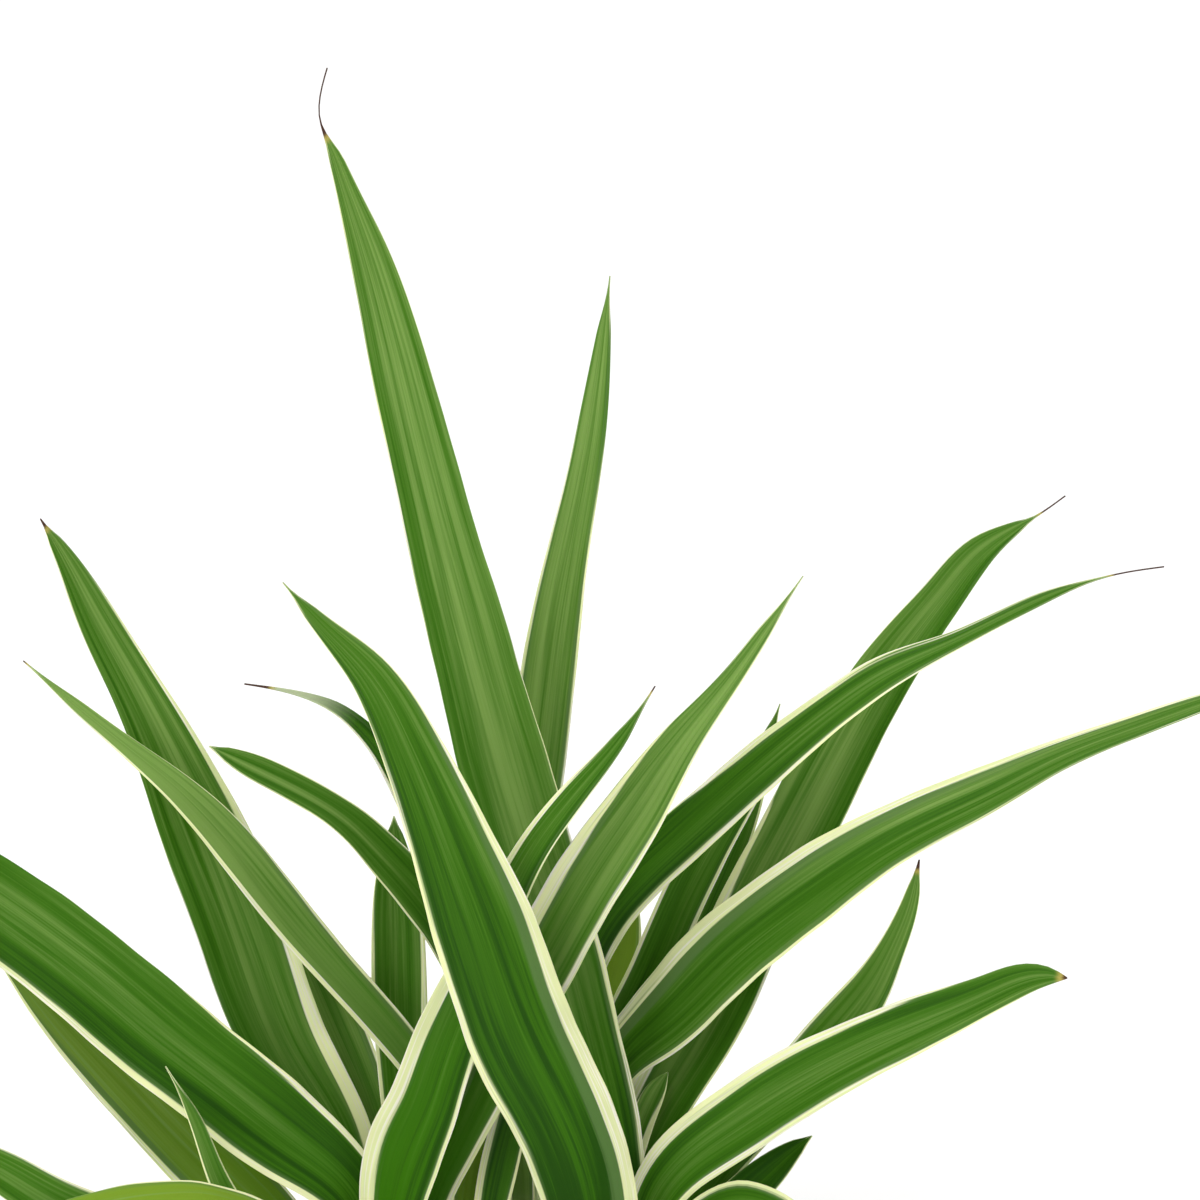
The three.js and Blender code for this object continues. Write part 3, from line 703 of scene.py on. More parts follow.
@dataclass(frozen=True)
class Crown:
    """A short stem that leaves grow from: a low dome at a place on the compost, with a root under it."""

    name: str
    x: float
    y: float
    radius: float
    height: float = 13.0
    root: float = 24.0
    root_taper: float = 0.85
    root_curve: float = 0.8
    rings: int = 48
    sides: int = 96
    pole: float = 0.01  # the share of the outline that lies inside the first ring
    folds: int = 11
    fold_depth: float = 0.7
    fold_swirl: float = 0.03
    fold_full: float = 4.0  # the radius from which the folds have their full depth
    collar: float = 2.0
    foot_depth: float = 4.0
    foot_width: float = 5.6
    foot_splay: float = 0.75

    def centre(self) -> Array:
        """Returns the middle of the dome's base."""
        return np.array([self.x, self.y, SOIL_LEVEL])

    def seat(self, direction: float, down: float) -> tuple[Array, Array]:
        """Finds where a leaf leaves the dome.

        Args:
            direction: The compass direction from the middle, in degrees from +X.
            down: Degrees down from the dome's top.

        Returns:
            The place on the dome, and the way the leaf heads there, steeper than the dome's normal.
        """
        polar = math.radians(down)
        out = compass(direction)
        rise = self.height * math.cos(polar) + self.collar
        place = self.centre() + out * self.radius * math.sin(polar) + SKY * rise
        return place, unit(out * self.foot_splay * math.sin(polar) + SKY)

    def foot(self, direction: float, down: float) -> Array:
        """Finds a leaf's first two route points, its foot under the dome and its collar above it.

        Args:
            direction: The compass direction from the middle, in degrees from +X.
            down: Degrees down from the dome's top.

        Returns:
            Both as rows of x, y, z and width.
        """
        place, leave = self.seat(direction, down)
        ends = [place - leave * self.foot_depth, place + leave * self.foot_depth]
        return np.column_stack([np.stack(ends), np.full(2, self.foot_width)])

    def mesh(self) -> bpy.types.Mesh:
        """Makes the dome and its root.

        The outline goes from the dome's top over a quarter ellipse to the compost, and then in a nearly
        straight taper to the root's end. Folds run down it: the radius dips by their depth times
        |sin(folds x turn / 2)| to the fourth, where old leaf bases overlap.

        Returns:
            The mesh, with the numbers that its material reads.
        """
        polar = np.linspace(self.pole, 1.0, self.rings) * math.pi / 2
        under = np.linspace(0.0, 1.0, self.rings // 2)[1:]
        taper = 1.0 - self.root_taper * under ** self.root_curve
        radius = np.concatenate([np.sin(polar), taper]) * self.radius
        level = np.concatenate([np.cos(polar) * self.height, -self.root * under])
        turn = full_turn(self.sides)
        swirl = turn[None, :] + level[:, None] * self.fold_swirl
        depth = self.fold_depth * np.minimum(radius / self.fold_full, 1)[:, None]
        reach = radius[:, None] - np.abs(np.sin(swirl * self.folds / 2)) ** 4 * depth
        x = self.x + reach * np.cos(turn)
        y = self.y + reach * np.sin(turn)
        z = np.broadcast_to(SOIL_LEVEL + level[:, None], x.shape)
        mesh = closed_tube("crown_" + self.name, np.stack([x, y, z], axis=-1))
        ends = np.zeros(2)
        across = np.broadcast_to(turn * self.radius, x.shape).ravel()
        above = np.broadcast_to(level[:, None], x.shape).ravel()
        set_numbers(mesh, {
            "across": np.concatenate([across, ends]),
            "along": np.concatenate([above, ends]),
            "above": np.concatenate([above, ends]),
            "seed": self.radius + self.x,
        })
        return mesh


def least_bending(knots: Array, values: Array, at: Array) -> tuple[Array, Array]:
    """Works out the natural cubic spline through values at knots.

    Between two knots a step h apart, with a and b the shares of the way to the later and from the
    earlier one, it is a*p + b*q + ((a^3 - a)*m + (b^3 - b)*n)*h^2/6, where p and q are the values and
    m and n the second derivatives there. Those are 0 at both ends, and elsewhere solve
    before*m0 + 2*(before + after)*m1 + after*m2 = 6*(the change of slope).

    Args:
        knots: The knots, rising.
        values: One row of values for each knot.
        at: Where to work it out.

    Returns:
        The values and the slopes, one row for each place.
    """
    step = np.diff(knots)
    slope = np.diff(values, axis=0) / step[:, None]
    count = len(knots)
    bands = np.eye(count)
    inner = np.arange(1, count - 1)
    bands[inner, inner - 1] = step[:-1]
    bands[inner, inner] = 2 * (step[:-1] + step[1:])
    bands[inner, inner + 1] = step[1:]
    change = np.zeros_like(values)
    change[1:-1] = 6 * np.diff(slope, axis=0)
    second = np.linalg.solve(bands, change)
    i = np.clip(np.searchsorted(knots, at, side="left") - 1, 0, count - 2)
    h = step[i][:, None]
    a = (knots[i + 1] - at)[:, None] / h
    b = (at - knots[i])[:, None] / h
    p, q, m, n = values[i], values[i + 1], second[i], second[i + 1]
    value = a * p + b * q + ((a ** 3 - a) * m + (b ** 3 - b) * n) * h * h / 6
    return value, (q - p) / h + h * ((1 - 3 * a * a) * m + (3 * b * b - 1) * n) / 6


@dataclass(frozen=True)
class Margin:
    """One margin of a leaf: its cream's width and the grey-green's inside it, in millimetres.

    Both start at a share of the leaf's length, within the ramp before it, and narrow to nothing at
    another. With a high power they keep their width until near that end, and with one under 1 they
    narrow soon. The grey-green keeps a least share of its width.
    """

    cream: float
    grey: float
    to: float
    power: float = 4.0
    since: float = 0.0
    ramp: float = 0.1
    grey_least: float = 0.4

    def edges(self, distance: Array, share: Array, grown: Array) -> tuple[Array, Array]:
        """Works out how far points lie inside the cream and inside the grey-green.

        Args:
            distance: How far they lie from this edge of the blade.
            share: Their share of the leaf's length.
            grown: The share of its widest width that the blade has there.

        Returns:
            Both distances, which are negative in the cream or the grey-green.
        """
        keep = np.clip(1 - (share / self.to) ** self.power, 0.0, 1.0)
        keep = keep * ease(share, self.since - self.ramp, self.since)
        cream = distance - self.cream * grown * keep
        return cream, cream - self.grey * grown * (self.grey_least + (1 - self.grey_least) * keep)


@dataclass(frozen=True)
class Look:
    """How one leaf is coloured. Left and right are as the eye sees it with its tip up.

    tones makes the green lighter (above 0) or darker (below 0) at the left, in the middle and at the
    right, and ends does so at the foot and at the tip: where ends makes the foot darker it is painted shade
    of the tuft, and where it makes the tip lighter it is a painted sheen. vivid, olive and pale are shares,
    vivid up to where it has faded and pale from a share of the leaf's length outward. dry is the length of
    the dried tip in millimetres.
    """

    left: Margin
    right: Margin
    tones: tuple[float, float, float] = (-0.1, 0.15, -0.1)
    # ends: a darker foot is painted shade of the tuft, and a lighter tip is a painted sheen
    ends: tuple[float, float] = (-0.2, 0.2)
    foot_to: float = 0.45
    tip_from: float = 0.4
    vivid: float = 0.3
    vivid_fade: Span = (0.2, 0.75)
    olive: float = 0.0
    pale: float = 0.0
    pale_from: float = 0.8
    pale_ramp: float = 0.08
    under_pale: float = 0.2
    dry: float = 0.0
    undried: float = 20.0  # how far from a dried tip a leaf without one reads

    def tone(self, u: Array, share: Array) -> Array:
        """Works out the tone.

        Args:
            u: The places across, -1 to 1.
            share: The shares of the length.

        Returns:
            How much lighter or darker the green is there.
        """
        foot, tip = self.ends
        across = np.interp(u, (-1, 0, 1), self.tones)
        # the foot term paints the tuft's shade, and the tip term paints a sheen
        return across + foot * (1 - ease(share, 0, self.foot_to)) + tip * ease(share, self.tip_from, 1)

    def vividness(self, share: Array) -> Array:
        """Returns the share of vivid green at shares of the length."""
        return self.vivid * (1 - ease(share, *self.vivid_fade))

    def paleness(self, share: Array, under: Array) -> Array:
        """Returns the paleness at shares of the length, on the upper face or where under is True."""
        tip = self.pale * ease(share, self.pale_from, self.pale_from + self.pale_ramp)
        return tip + under * self.under_pale * (1 - self.pale)

    def to_dry(self, back: Array) -> Array:
        """Returns how far places that lie so far back from the tip are from its dried part."""
        return back - self.dry if self.dry else np.full_like(back, self.undried)


@dataclass(frozen=True)
class Blade:
    """A leaf blade: a thin channel along the curve of least bending through its route.

    Each row of the route is x, y, z and the width, in millimetres. The blade is folded and thick at its
    foot, and opens over a share of its length. Its margins wave, more where it is broad.
    """

    name: str
    look: Look
    route: Array
    facing: float
    drawn: bool
    seed: float
    across_steps: int = 22
    step: float = 2.4
    counts: tuple[int, int] = (40, 150)  # the fewest and the most stations
    crowding: float = 0.92  # under 1, so the stations lie closer towards the tip
    foot_upright: float = 0.3
    opening: float = 0.28
    foot_fold: float = math.radians(40)
    blade_fold: float = math.radians(13)
    keel: float = 0.16
    foot_thickness: float = 2.0
    thickness: float = 0.8
    thinning: float = 1.6
    tip_thickness: float = 0.3
    edge_spread: float = 0.85
    edge_thinning: float = 0.34
    tip_width: float = 0.9
    tip_full: float = 3.5
    fine_tip: float = 0.34
    least_shown: float = 0.75
    wave: float = 0.35
    wave_length: float = 34.0
    wave_width: float = 20.0
    wave_most: float = 1.2
    wave_apart: float = 1.1
    wave_seed: float = 5.0
    ripple: tuple[float, float] = (0.5, 2.3)
    nick: float = 0.012
    nick_length: float = 7.3
    nick_seed: float = 3.0
    margin_growth: float = 0.6

    def inward(self) -> Array:
        """Returns the level direction from the leaf's middle back towards its foot."""
        middle = self.route[len(self.route) // 2]
        return unit((self.route[0] - middle)[:3] * (1, 1, 0))

    def stations(self) -> dict[str, Array]:
        """Works out the blade's frame at stations along it.

        The face's natural normal leans in at the foot and up at the tip. A drawn leaf's face is then
        turned from there towards the eye, by its facing. The side is the heading crossed with the
        normal. A drawn leaf's width is what the eye sees, so it is divided by the share of it that
        shows there.

        Returns:
            The stations' share of the length, distance from the foot, place, side, normal, width and
            how far the blade has opened from its foot.
        """
        knots = distances(self.route[:, :3])
        count = int(np.clip(knots[-1] / self.step, *self.counts))
        share = np.linspace(0.0, 1.0, count) ** self.crowding
        value, slope = least_bending(knots, self.route, share * knots[-1])
        heading = unit(slope[:, :3])
        column = share[:, None]
        natural = unit(self.inward() * (1 - column) + SKY * (self.foot_upright + column))
        opened = ease(column, 0.0, self.opening)
        toward = natural + (-EYE_AWAY - natural) * self.facing * opened
        normal = unit(toward - heading * dot(toward, heading))
        width = np.maximum(value[:, 3:], self.tip_width)
        if self.drawn:
            upright = np.sqrt(1 - dot(heading, EYE_AWAY) ** 2)
            shown = np.maximum(np.abs(dot(normal, EYE_AWAY)) / upright, self.least_shown)
            width = width / (1 + (shown - 1) * opened)
        return {
            "share": column,
            "along": column * knots[-1],
            "place": value[:, None, :3],
            "side": np.cross(heading, normal)[:, None, :],
            "normal": normal[:, None, :],
            "width": width * self.tip_taper(width),
            "opened": opened,
        }

    def tip_taper(self, width: Array) -> Array:
        """Returns the share of its width that a narrow tip keeps, so that it ends as fine as a hair."""
        return self.fine_tip + (1 - self.fine_tip) * ease(width, self.tip_width, self.tip_full)

    def section(self) -> tuple[Array, Array]:
        """Works out the closed section.

        Returns:
            For each corner, its place across the blade, -1 to 1, and the share of half the
            thickness that it stands from the middle surface. That is the root of 1 - u^6, thinned by
            a third of |u|.
        """
        turn = full_turn(2 * self.across_steps)
        circle = -np.cos(turn)
        u = np.sign(circle) * np.abs(circle) ** self.edge_spread
        bulge = np.sqrt(np.maximum(1 - u ** 6, 0)) * (1 - self.edge_thinning * np.abs(u))
        return u, np.sign(np.sin(turn)) * bulge

    def lift(self, at: dict[str, Array], u: Array, half: Array) -> Array:
        """Works out how far the middle surface stands off the route.

        It is a soft V, half the width times tan(fold) times the root of u^2 + keel^2, and a slow wave
        of the margins, which grows with |u|^3. The wave is sin(a) + share x sin(rate x a), where a
        turns once in each wave length and starts anew for each leaf and margin.

        Args:
            at: The stations.
            u: The corners' places across.
            half: Half the width at each station.

        Returns:
            The lift in millimetres, stations x corners.
        """
        fold = self.foot_fold + (self.blade_fold - self.foot_fold) * at["opened"]
        soft = (np.sqrt(u ** 2 + self.keel ** 2) - self.keel) / (math.sqrt(1 + self.keel ** 2) - self.keel)
        turned = at["along"] / self.wave_length * 2 * math.pi
        phase = turned + self.seed * self.wave_seed + np.sign(u) * self.wave_apart
        share, rate = self.ripple
        rippled = np.sin(phase) + share * np.sin(phase * rate + self.seed)
        broad = np.clip(at["width"] / self.wave_width, 0, self.wave_most) * at["opened"]
        return half * np.tan(fold) * soft + self.wave * broad * np.abs(u) ** 3 * rippled

    def mesh(self) -> bpy.types.Mesh:
        """Makes the blade.

        A corner stands at place + side x u x half the width + normal x (lift + half the thickness),
        and its margins are nicked by a fine sine of the length.

        Returns:
            The mesh, with the numbers that its material reads.
        """
        at = self.stations()
        u, stand = self.section()
        half = at["width"] / 2
        thin = np.minimum(self.thinning * at["opened"], 1)
        thick = self.foot_thickness + (self.thickness - self.foot_thickness) * thin
        thick = np.minimum(thick, self.tip_thickness + half)
        lift = self.lift(at, u, half) + stand * thick / 2
        nicks = np.sin(at["along"] / self.nick_length + self.seed * self.nick_seed + u)
        spread = u * half * (1 + self.nick * nicks * at["opened"])
        rings = at["place"] + at["side"] * spread[..., None] + at["normal"] * lift[..., None]
        mesh = closed_tube(self.name, rings)
        set_numbers(mesh, self.numbers(at, u, stand))
        return mesh

    def numbers(self, at: dict[str, Array], u: Array, stand: Array) -> dict[str, Array | float]:
        """Works out what the leaf's material reads.

        Args:
            at: The stations.
            u: The corners' places across.
            stand: Which face each corner is on.

        Returns:
            The millimetres across and along the blade, inside its cream, beyond its grey-green and
            back from its dried tip, and its tone, vivid, olive, pale and seed.
        """
        look, share, width, along = self.look, at["share"], at["width"], at["along"]
        widest = width.max()
        grown = np.clip(width / widest, 0, 1) ** self.margin_growth
        left = look.left.edges((u + 1) * width / 2, share, grown)
        right = look.right.edges((1 - u) * width / 2, share, grown)
        inside, beyond = np.minimum(left, right)
        columns = {
            "across": u * widest / 2,
            "along": along,
            "inside": inside,
            "beyond": beyond,
            "to_dry": look.to_dry(along[-1] - along),
            "tone": look.tone(u, share),
            "vivid": look.vividness(share),
            "pale": look.paleness(share, stand < 0),
        }
        grids = {key: np.broadcast_to(values, inside.shape) for key, values in columns.items()}
        numbers = {key: np.concatenate([v.ravel(), v[0, :1], v[-1, :1]]) for key, v in grids.items()}
        return {**numbers, "olive": look.olive, "seed": self.seed}


@dataclass(frozen=True)
class DrawnLeaf:
    """A leaf whose route is drawn as the eye sees it: rows of [right, up, away, width], in millimetres.

    Its seat is a direction round its crown and the degrees down from the crown's top. Its facing is the
    share by which its face is turned to the eye.
    """

    name: str
    crown: str
    seat: tuple[float, float]
    facing: float
    look: Look
    route: Sequence[Sequence[float]]
    lean: float = 0.5
    lean_from: float = 30.0
    lean_ease: float = 60.0

    def points(self) -> Array:
        """Turns the drawn rows into places.

        A point that is drawn high is brought forward, by lean x above^2 / (above + ease), and a
        point further away spans more for the same drawn offset.

        Returns:
            Rows of x, y, z and width.
        """
        right, up, away, width = np.array(self.route, dtype=float).T
        above = np.maximum(up - self.lean_from, 0)
        depth = away - self.lean * above * above / (above + self.lean_ease)
        spread = 1 + depth / EYE_DISTANCE
        place = (
            EYE_TARGET
            + np.outer((right - EYE_AXIS_RIGHT) * spread, EYE_RIGHT)
            + np.outer((up - EYE_AXIS_UP) * spread, EYE_UP)
            + np.outer(depth, EYE_AWAY)
        )
        return np.column_stack([place, width * spread])

    def blade(self, crowns: dict[str, Crown], seed: float) -> Blade:
        """Returns the blade that grows from the leaf's crown along its route."""
        route = np.concatenate([crowns[self.crown].foot(*self.seat), self.points()])
        return Blade(self.name, self.look, route, self.facing, True, seed)


@dataclass(frozen=True)
class ArchedLeaf:
    """A plainer leaf that arches out: its width, direction, reach, rise, drop at the tip and drift.

    Its widths are shares of the width at steps of its length, and skew moves the arch's top back.
    """

    name: str
    crown: str
    seat: tuple[float, float]
    width: float
    direction: float
    reach: float
    rise: float
    drop: float
    drift: float
    look: Look
    steps: Sequence[float] = (0.18, 0.36, 0.54, 0.72, 0.88, 1.0)
    widths: Sequence[float] = (0.7, 1.0, 1.0, 0.85, 0.5, 0.0)
    skew: float = 0.35
    least: float = 0.9

    def points(self, start: Array) -> Array:
        """Works out the arch.

        At share t it is start + out x reach x t + side x drift x t^2 + up x (4 x rise x t x (1 - t) x
        (1 - skew x t) + drop x t^2).

        Args:
            start: The top of the leaf's collar.

        Returns:
            Rows of x, y, z and width.
        """
        t = np.array(self.steps)
        up = 4 * self.rise * t * (1 - t) * (1 - self.skew * t) + self.drop * t * t
        place = (
            start
            + np.outer(self.reach * t, compass(self.direction))
            + np.outer(self.drift * t * t, compass(self.direction + 90))
            + np.outer(up, SKY)
        )
        return np.column_stack([place, np.maximum(self.width * np.array(self.widths), self.least)])

    def blade(self, crowns: dict[str, Crown], seed: float) -> Blade:
        """Makes the blade that grows from the leaf's crown along its arch.

        Args:
            crowns: Each crown under its name.
            seed: The leaf's own seed.

        Returns:
            The blade.
        """
        foot = crowns[self.crown].foot(*self.seat)
        route = np.concatenate([foot, self.points(foot[1, :3])])
        return Blade(self.name, self.look, route, 0.0, False, seed)


@dataclass(frozen=True)
class Litter:
    """Lumps that lie on the compost: how many, their least and greatest radius, and how flat they are.

    Their corners are pushed in and out, and their axes stretched, by factors drawn from two spans. They
    are raised by a share of their size, and stay so many millimetres from the compost's edge.
    """

    name: str
    count: int
    radius: Span
    flat: float
    pushed: Span = (0.75, 1.25)
    stretched: Span = (0.6, 1.3)
    raised: float = 0.4
    from_edge: float = 3.0


@dataclass(frozen=True)
class Compost:
    """The compost that fills the pot, lumpy on top, with crumbs, bark chips and perlite on it."""

    floor: float = 7.3
    floor_radius: float = 44.5
    top_radius: float = 62.3
    sink: float = 2.0
    lump: float = 1.6
    lump_waves: tuple[float, float] = (0.21, 0.19)
    lump_start: float = 1.3
    small_lump: float = 0.6
    small_waves: tuple[float, float] = (0.47, 0.39)
    crumble_lengths: tuple[float, ...] = (9.0, 6.0, 4.2, 3.0, 2.3)
    crumble_ways: int = 5
    crumble_depth: float = 0.018
    crumble_draw: int = 11
    smooth_edge: float = 3.0
    rings: int = 90
    sides: int = 200
    pole: float = 0.02  # the share of the radius that lies inside the first ring
    hub: float = 0.1  # the same for the last ring, on the underside
    litter_draw: int = 5
    crumbs: Litter = Litter("crumbs", 620, (0.7, 2.1), 0.8)
    chips: Litter = Litter("chips", 90, (1.4, 3.6), 0.38)

    def height(self, x: Array, y: Array) -> Array:
        """Works out the surface's height: its level, with low lumps that die out at the pot's wall.

        The lumps are sin(a x + start) x cos(b y) and a share of sin(c x - d y), times
        1 - (radius / top radius)^4.

        Args:
            x: The places' x, in millimetres.
            y: Their y.

        Returns:
            Their heights.
        """
        (a, b), (c, d) = self.lump_waves, self.small_waves
        lumps = np.sin(x * a + self.lump_start) * np.cos(y * b) + self.small_lump * np.sin(x * c - y * d)
        edge = np.maximum(1 - (np.hypot(x, y) / self.top_radius) ** 4, 0)
        return SOIL_LEVEL + self.lump * lumps * edge - self.sink

    def crumble(self, x: Array, y: Array) -> Array:
        """Works out the surface's fine unevenness: sines of several lengths in many directions, summed.

        Args:
            x: The places' x, in millimetres.
            y: Their y.

        Returns:
            How far each stands above the lumps.
        """
        draw = np.random.default_rng(self.crumble_draw)
        total = np.zeros_like(x)
        for length in self.crumble_lengths:
            turn, phase = draw.uniform(0, 2 * math.pi, (2, self.crumble_ways))
            k = 2 * math.pi / length
            waves = np.sin(k * (x[..., None] * np.cos(turn) + y[..., None] * np.sin(turn)) + phase)
            total += waves.sum(axis=-1) * length * self.crumble_depth
        return total

    def body(self) -> bpy.types.Mesh:
        """Makes the compost.

        Its top is a disc of rings round the axis at the surface's height, and its side goes
        straight down to the pot's floor.

        Returns:
            The mesh.
        """
        turn = full_turn(self.sides)[None, :]
        out = np.linspace(self.pole, 1.0, self.rings)[:, None] * self.top_radius
        x, y = out * np.cos(turn), out * np.sin(turn)
        edge = np.minimum((self.top_radius - out) / self.smooth_edge, 1)
        top = np.stack([x, y, self.height(x, y) + self.crumble(x, y) * edge], axis=-1)
        low = np.stack([x[-1], y[-1], np.full(self.sides, self.floor)], axis=-1)
        low[:, :2] *= self.floor_radius / self.top_radius
        centre = low * (self.hub, self.hub, 1)
        return closed_tube("compost", np.concatenate([top, low[None], centre[None]]))

    def scattered(self, litter: Litter, draw: np.random.Generator) -> bpy.types.Mesh:
        """Scatters lumps on the compost, joined in one mesh.

        Each is an icosahedron whose corners are pushed in and out, and which is stretched, turned
        and half sunk where it lies.

        Args:
            litter: The lumps.
            draw: The random draw.

        Returns:
            The mesh, with a number called kind on each lump, 0 to 1.
        """
        work = bmesh.new()
        bmesh.ops.create_icosphere(work, subdivisions=1, radius=1.0)
        corners = np.array([v.co[:] for v in work.verts])
        faces = np.array([[v.index for v in f.verts] for f in work.faces])
        work.free()
        count, flat = litter.count, litter.flat
        radius = draw.uniform(*litter.radius, count)[:, None, None]
        shape = corners[None] * draw.uniform(*litter.pushed, (count, len(corners), 1))
        shape = shape * draw.uniform(*litter.stretched, (count, 1, 3)) * (1, 1, flat) * radius
        turn = draw.uniform(0, 2 * math.pi, (count, 1))
        x = shape[..., 0] * np.cos(turn) - shape[..., 1] * np.sin(turn)
        y = shape[..., 0] * np.sin(turn) + shape[..., 1] * np.cos(turn)
        out = (self.top_radius - litter.from_edge) * np.sqrt(draw.uniform(0, 1, count))
        place = compass(draw.uniform(0, 360, count)) * out[:, None]
        level = self.height(place[:, 0], place[:, 1]) + radius[:, 0, 0] * flat * litter.raised
        points = np.stack([x, y, shape[..., 2]], axis=-1)
        points += place[:, None, :] + level[:, None, None] * SKY
        index = faces[None] + (np.arange(count) * len(corners))[:, None, None]
        mesh = bpy.data.meshes.new(litter.name)
        mesh.from_pydata((points.reshape(-1, 3) * MM).tolist(), [], index.reshape(-1, 3).tolist())
        set_numbers(mesh, {"kind": np.repeat(draw.uniform(0, 1, count), len(corners))})
        return mesh

    def build(self, compost: bpy.types.Material, bark: bpy.types.Material) -> None:
        """Puts the compost and what lies on it in the scene.

        Args:
            compost: The compost's material.
            bark: The bark's and perlite's material.
        """
        draw = np.random.default_rng(self.litter_draw)
        add_piece("compost_fill", self.body(), compost, ["compost"])
        add_piece("compost_crumbs", self.scattered(self.crumbs, draw), compost, [])
        add_piece("compost_chips", self.scattered(self.chips, draw), bark, [])


@dataclass(frozen=True)
class Pot:
    """A plain tapered clay pot with a thick rim and three drain holes."""

    height: float = 126.0
    base: float = 50.0
    top: float = 70.0
    wall: float = 5.0
    floor: float = 7.0
    rim: float = 26.0
    proud: float = 5.0
    rounding: float = 2.0
    sides: int = 192
    pole: float = 0.5
    corner_steps: int = 6
    wall_step: float = 4.0
    turn_waver: float = 0.06
    turn_waves: int = 3
    turn_lean: float = 0.09
    level_waver: float = 0.05
    level_waves: float = 1.1
    level_full: float = 40.0  # the radius from which the waver with height is full
    waver_full: float = 10.0  # the same for both wavers, so that the middle stays even
    drain: float = 5.0
    drain_ring: float = 26.0
    drain_sides: int = 32
    drain_cut: float = 28.0
    drain_from: float = 90.0
    drains: int = 3
    sharp: float = math.radians(50)

    def outline(self) -> Array:
        """Works out the pot's half section.

        Each corner is rounded by a curve whose point at t is (1-t)^2 a + 2t(1-t) c + t^2 b, where c
        is the corner and a and b lie a rounding away from it, and straight stretches get points of
        their own.

        Returns:
            Rows of radius and height, from the underside's middle round to the floor's.
        """
        rim_foot = self.height - self.rim
        taper = self.base + (self.top - self.base) * rim_foot / self.height
        rim_radius = self.top + self.proud
        corners = np.array([
            (self.pole, 0.0),
            (self.base, 0.0),
            (taper, rim_foot),
            (rim_radius, rim_foot),
            (rim_radius, self.height),
            (self.top - self.wall, self.height),
            (self.base - self.wall, self.floor),
            (self.pole, self.floor),
        ])
        t = np.linspace(0, 1, self.corner_steps)[:, None]
        rows = [corners[:1]]
        for before, corner, after in zip(corners, corners[1:], corners[2:]):
            a = corner + unit(before - corner) * self.rounding
            b = corner + unit(after - corner) * self.rounding
            rows.append((1 - t) ** 2 * a + 2 * t * (1 - t) * corner + t * t * b)
        rows.append(corners[-1:])
        points = np.concatenate(rows)
        along = distances(points)
        extra = np.arange(self.wall_step, along[-1], self.wall_step)
        at = np.unique(np.concatenate([along, extra]).round(3))
        return np.column_stack([np.interp(at, along, points[:, k]) for k in range(2)])

    def body(self) -> bpy.types.Mesh:
        """Makes the pot by turning its outline about the axis.

        Its radius wavers by a tenth of a millimetre, as the sum of a sine of turn and height and a
        sine of height.

        Returns:
            The mesh, with its drain holes cut.
        """
        radius, level = (column[:, None] for column in self.outline().T)
        turn = full_turn(self.sides)
        waver = self.turn_waver * np.sin(self.turn_waves * turn + level * self.turn_lean)
        thrown = self.level_waver * np.sin(level * self.level_waves)
        waver = waver + thrown * np.minimum(radius / self.level_full, 1)
        reach = radius + waver * np.minimum(radius / self.waver_full, 1)
        z = np.broadcast_to(level, reach.shape)
        mesh = closed_tube("pot_body", np.stack([reach * np.cos(turn), reach * np.sin(turn), z], axis=-1))
        return self.drained(mesh)

    def drained(self, mesh: bpy.types.Mesh) -> bpy.types.Mesh:
        """Cuts the drain holes.

        Args:
            mesh: The pot without them.

        Returns:
            The pot with them.
        """
        work = bmesh.new()
        for k in range(self.drains):
            place = compass(self.drain_from + 360 / self.drains * k) * self.drain_ring * MM
            bmesh.ops.create_cone(
                work, cap_ends=True, segments=self.drain_sides, radius1=self.drain * MM,
                radius2=self.drain * MM, depth=self.drain_cut * MM, matrix=Matrix.Translation(place),
            )
        cutter_mesh = bpy.data.meshes.new("drain_cutter")
        work.to_mesh(cutter_mesh)
        work.free()
        body = put("undrained", mesh)
        cutter = put("drain_cutter", cutter_mesh)
        cut = body.modifiers.new("drain", "BOOLEAN")
        cut.operation = "DIFFERENCE"
        cut.solver = "EXACT"
        cut.object = cutter
        graph = bpy.context.evaluated_depsgraph_get()
        result = bpy.data.meshes.new_from_object(body.evaluated_get(graph))
        bpy.data.objects.remove(body)
        bpy.data.objects.remove(cutter)
        result.name = "pot"
        result.shade_smooth()
        result.set_sharp_from_angle(angle=self.sharp)
        return result

    def build(self, clay: bpy.types.Material) -> None:
        """Puts the pot in the scene in its clay."""
        add_piece("clay_pot", self.body(), clay, ["pot"])


@dataclass(frozen=True)
class Lamp:
    """A square soft lamp: its place and side in metres, and its power in watts."""

    name: str
    place: tuple[float, float, float]
    power: float
    size: float

    def hang(self) -> None:
        """Hangs the lamp so that it faces the plant."""
        light = bpy.data.lights.new(self.name, "AREA")
        light.energy = self.power
        light.size = self.size
        away = np.array(self.place) - EYE_TARGET * MM
        side = unit(np.cross(SKY, away))
        up = np.cross(unit(away), side)
        turn = Matrix(np.column_stack([side, up, unit(away)]).tolist()).to_4x4()
        put(self.name, light).matrix_world = Matrix.Translation(self.place) @ turn


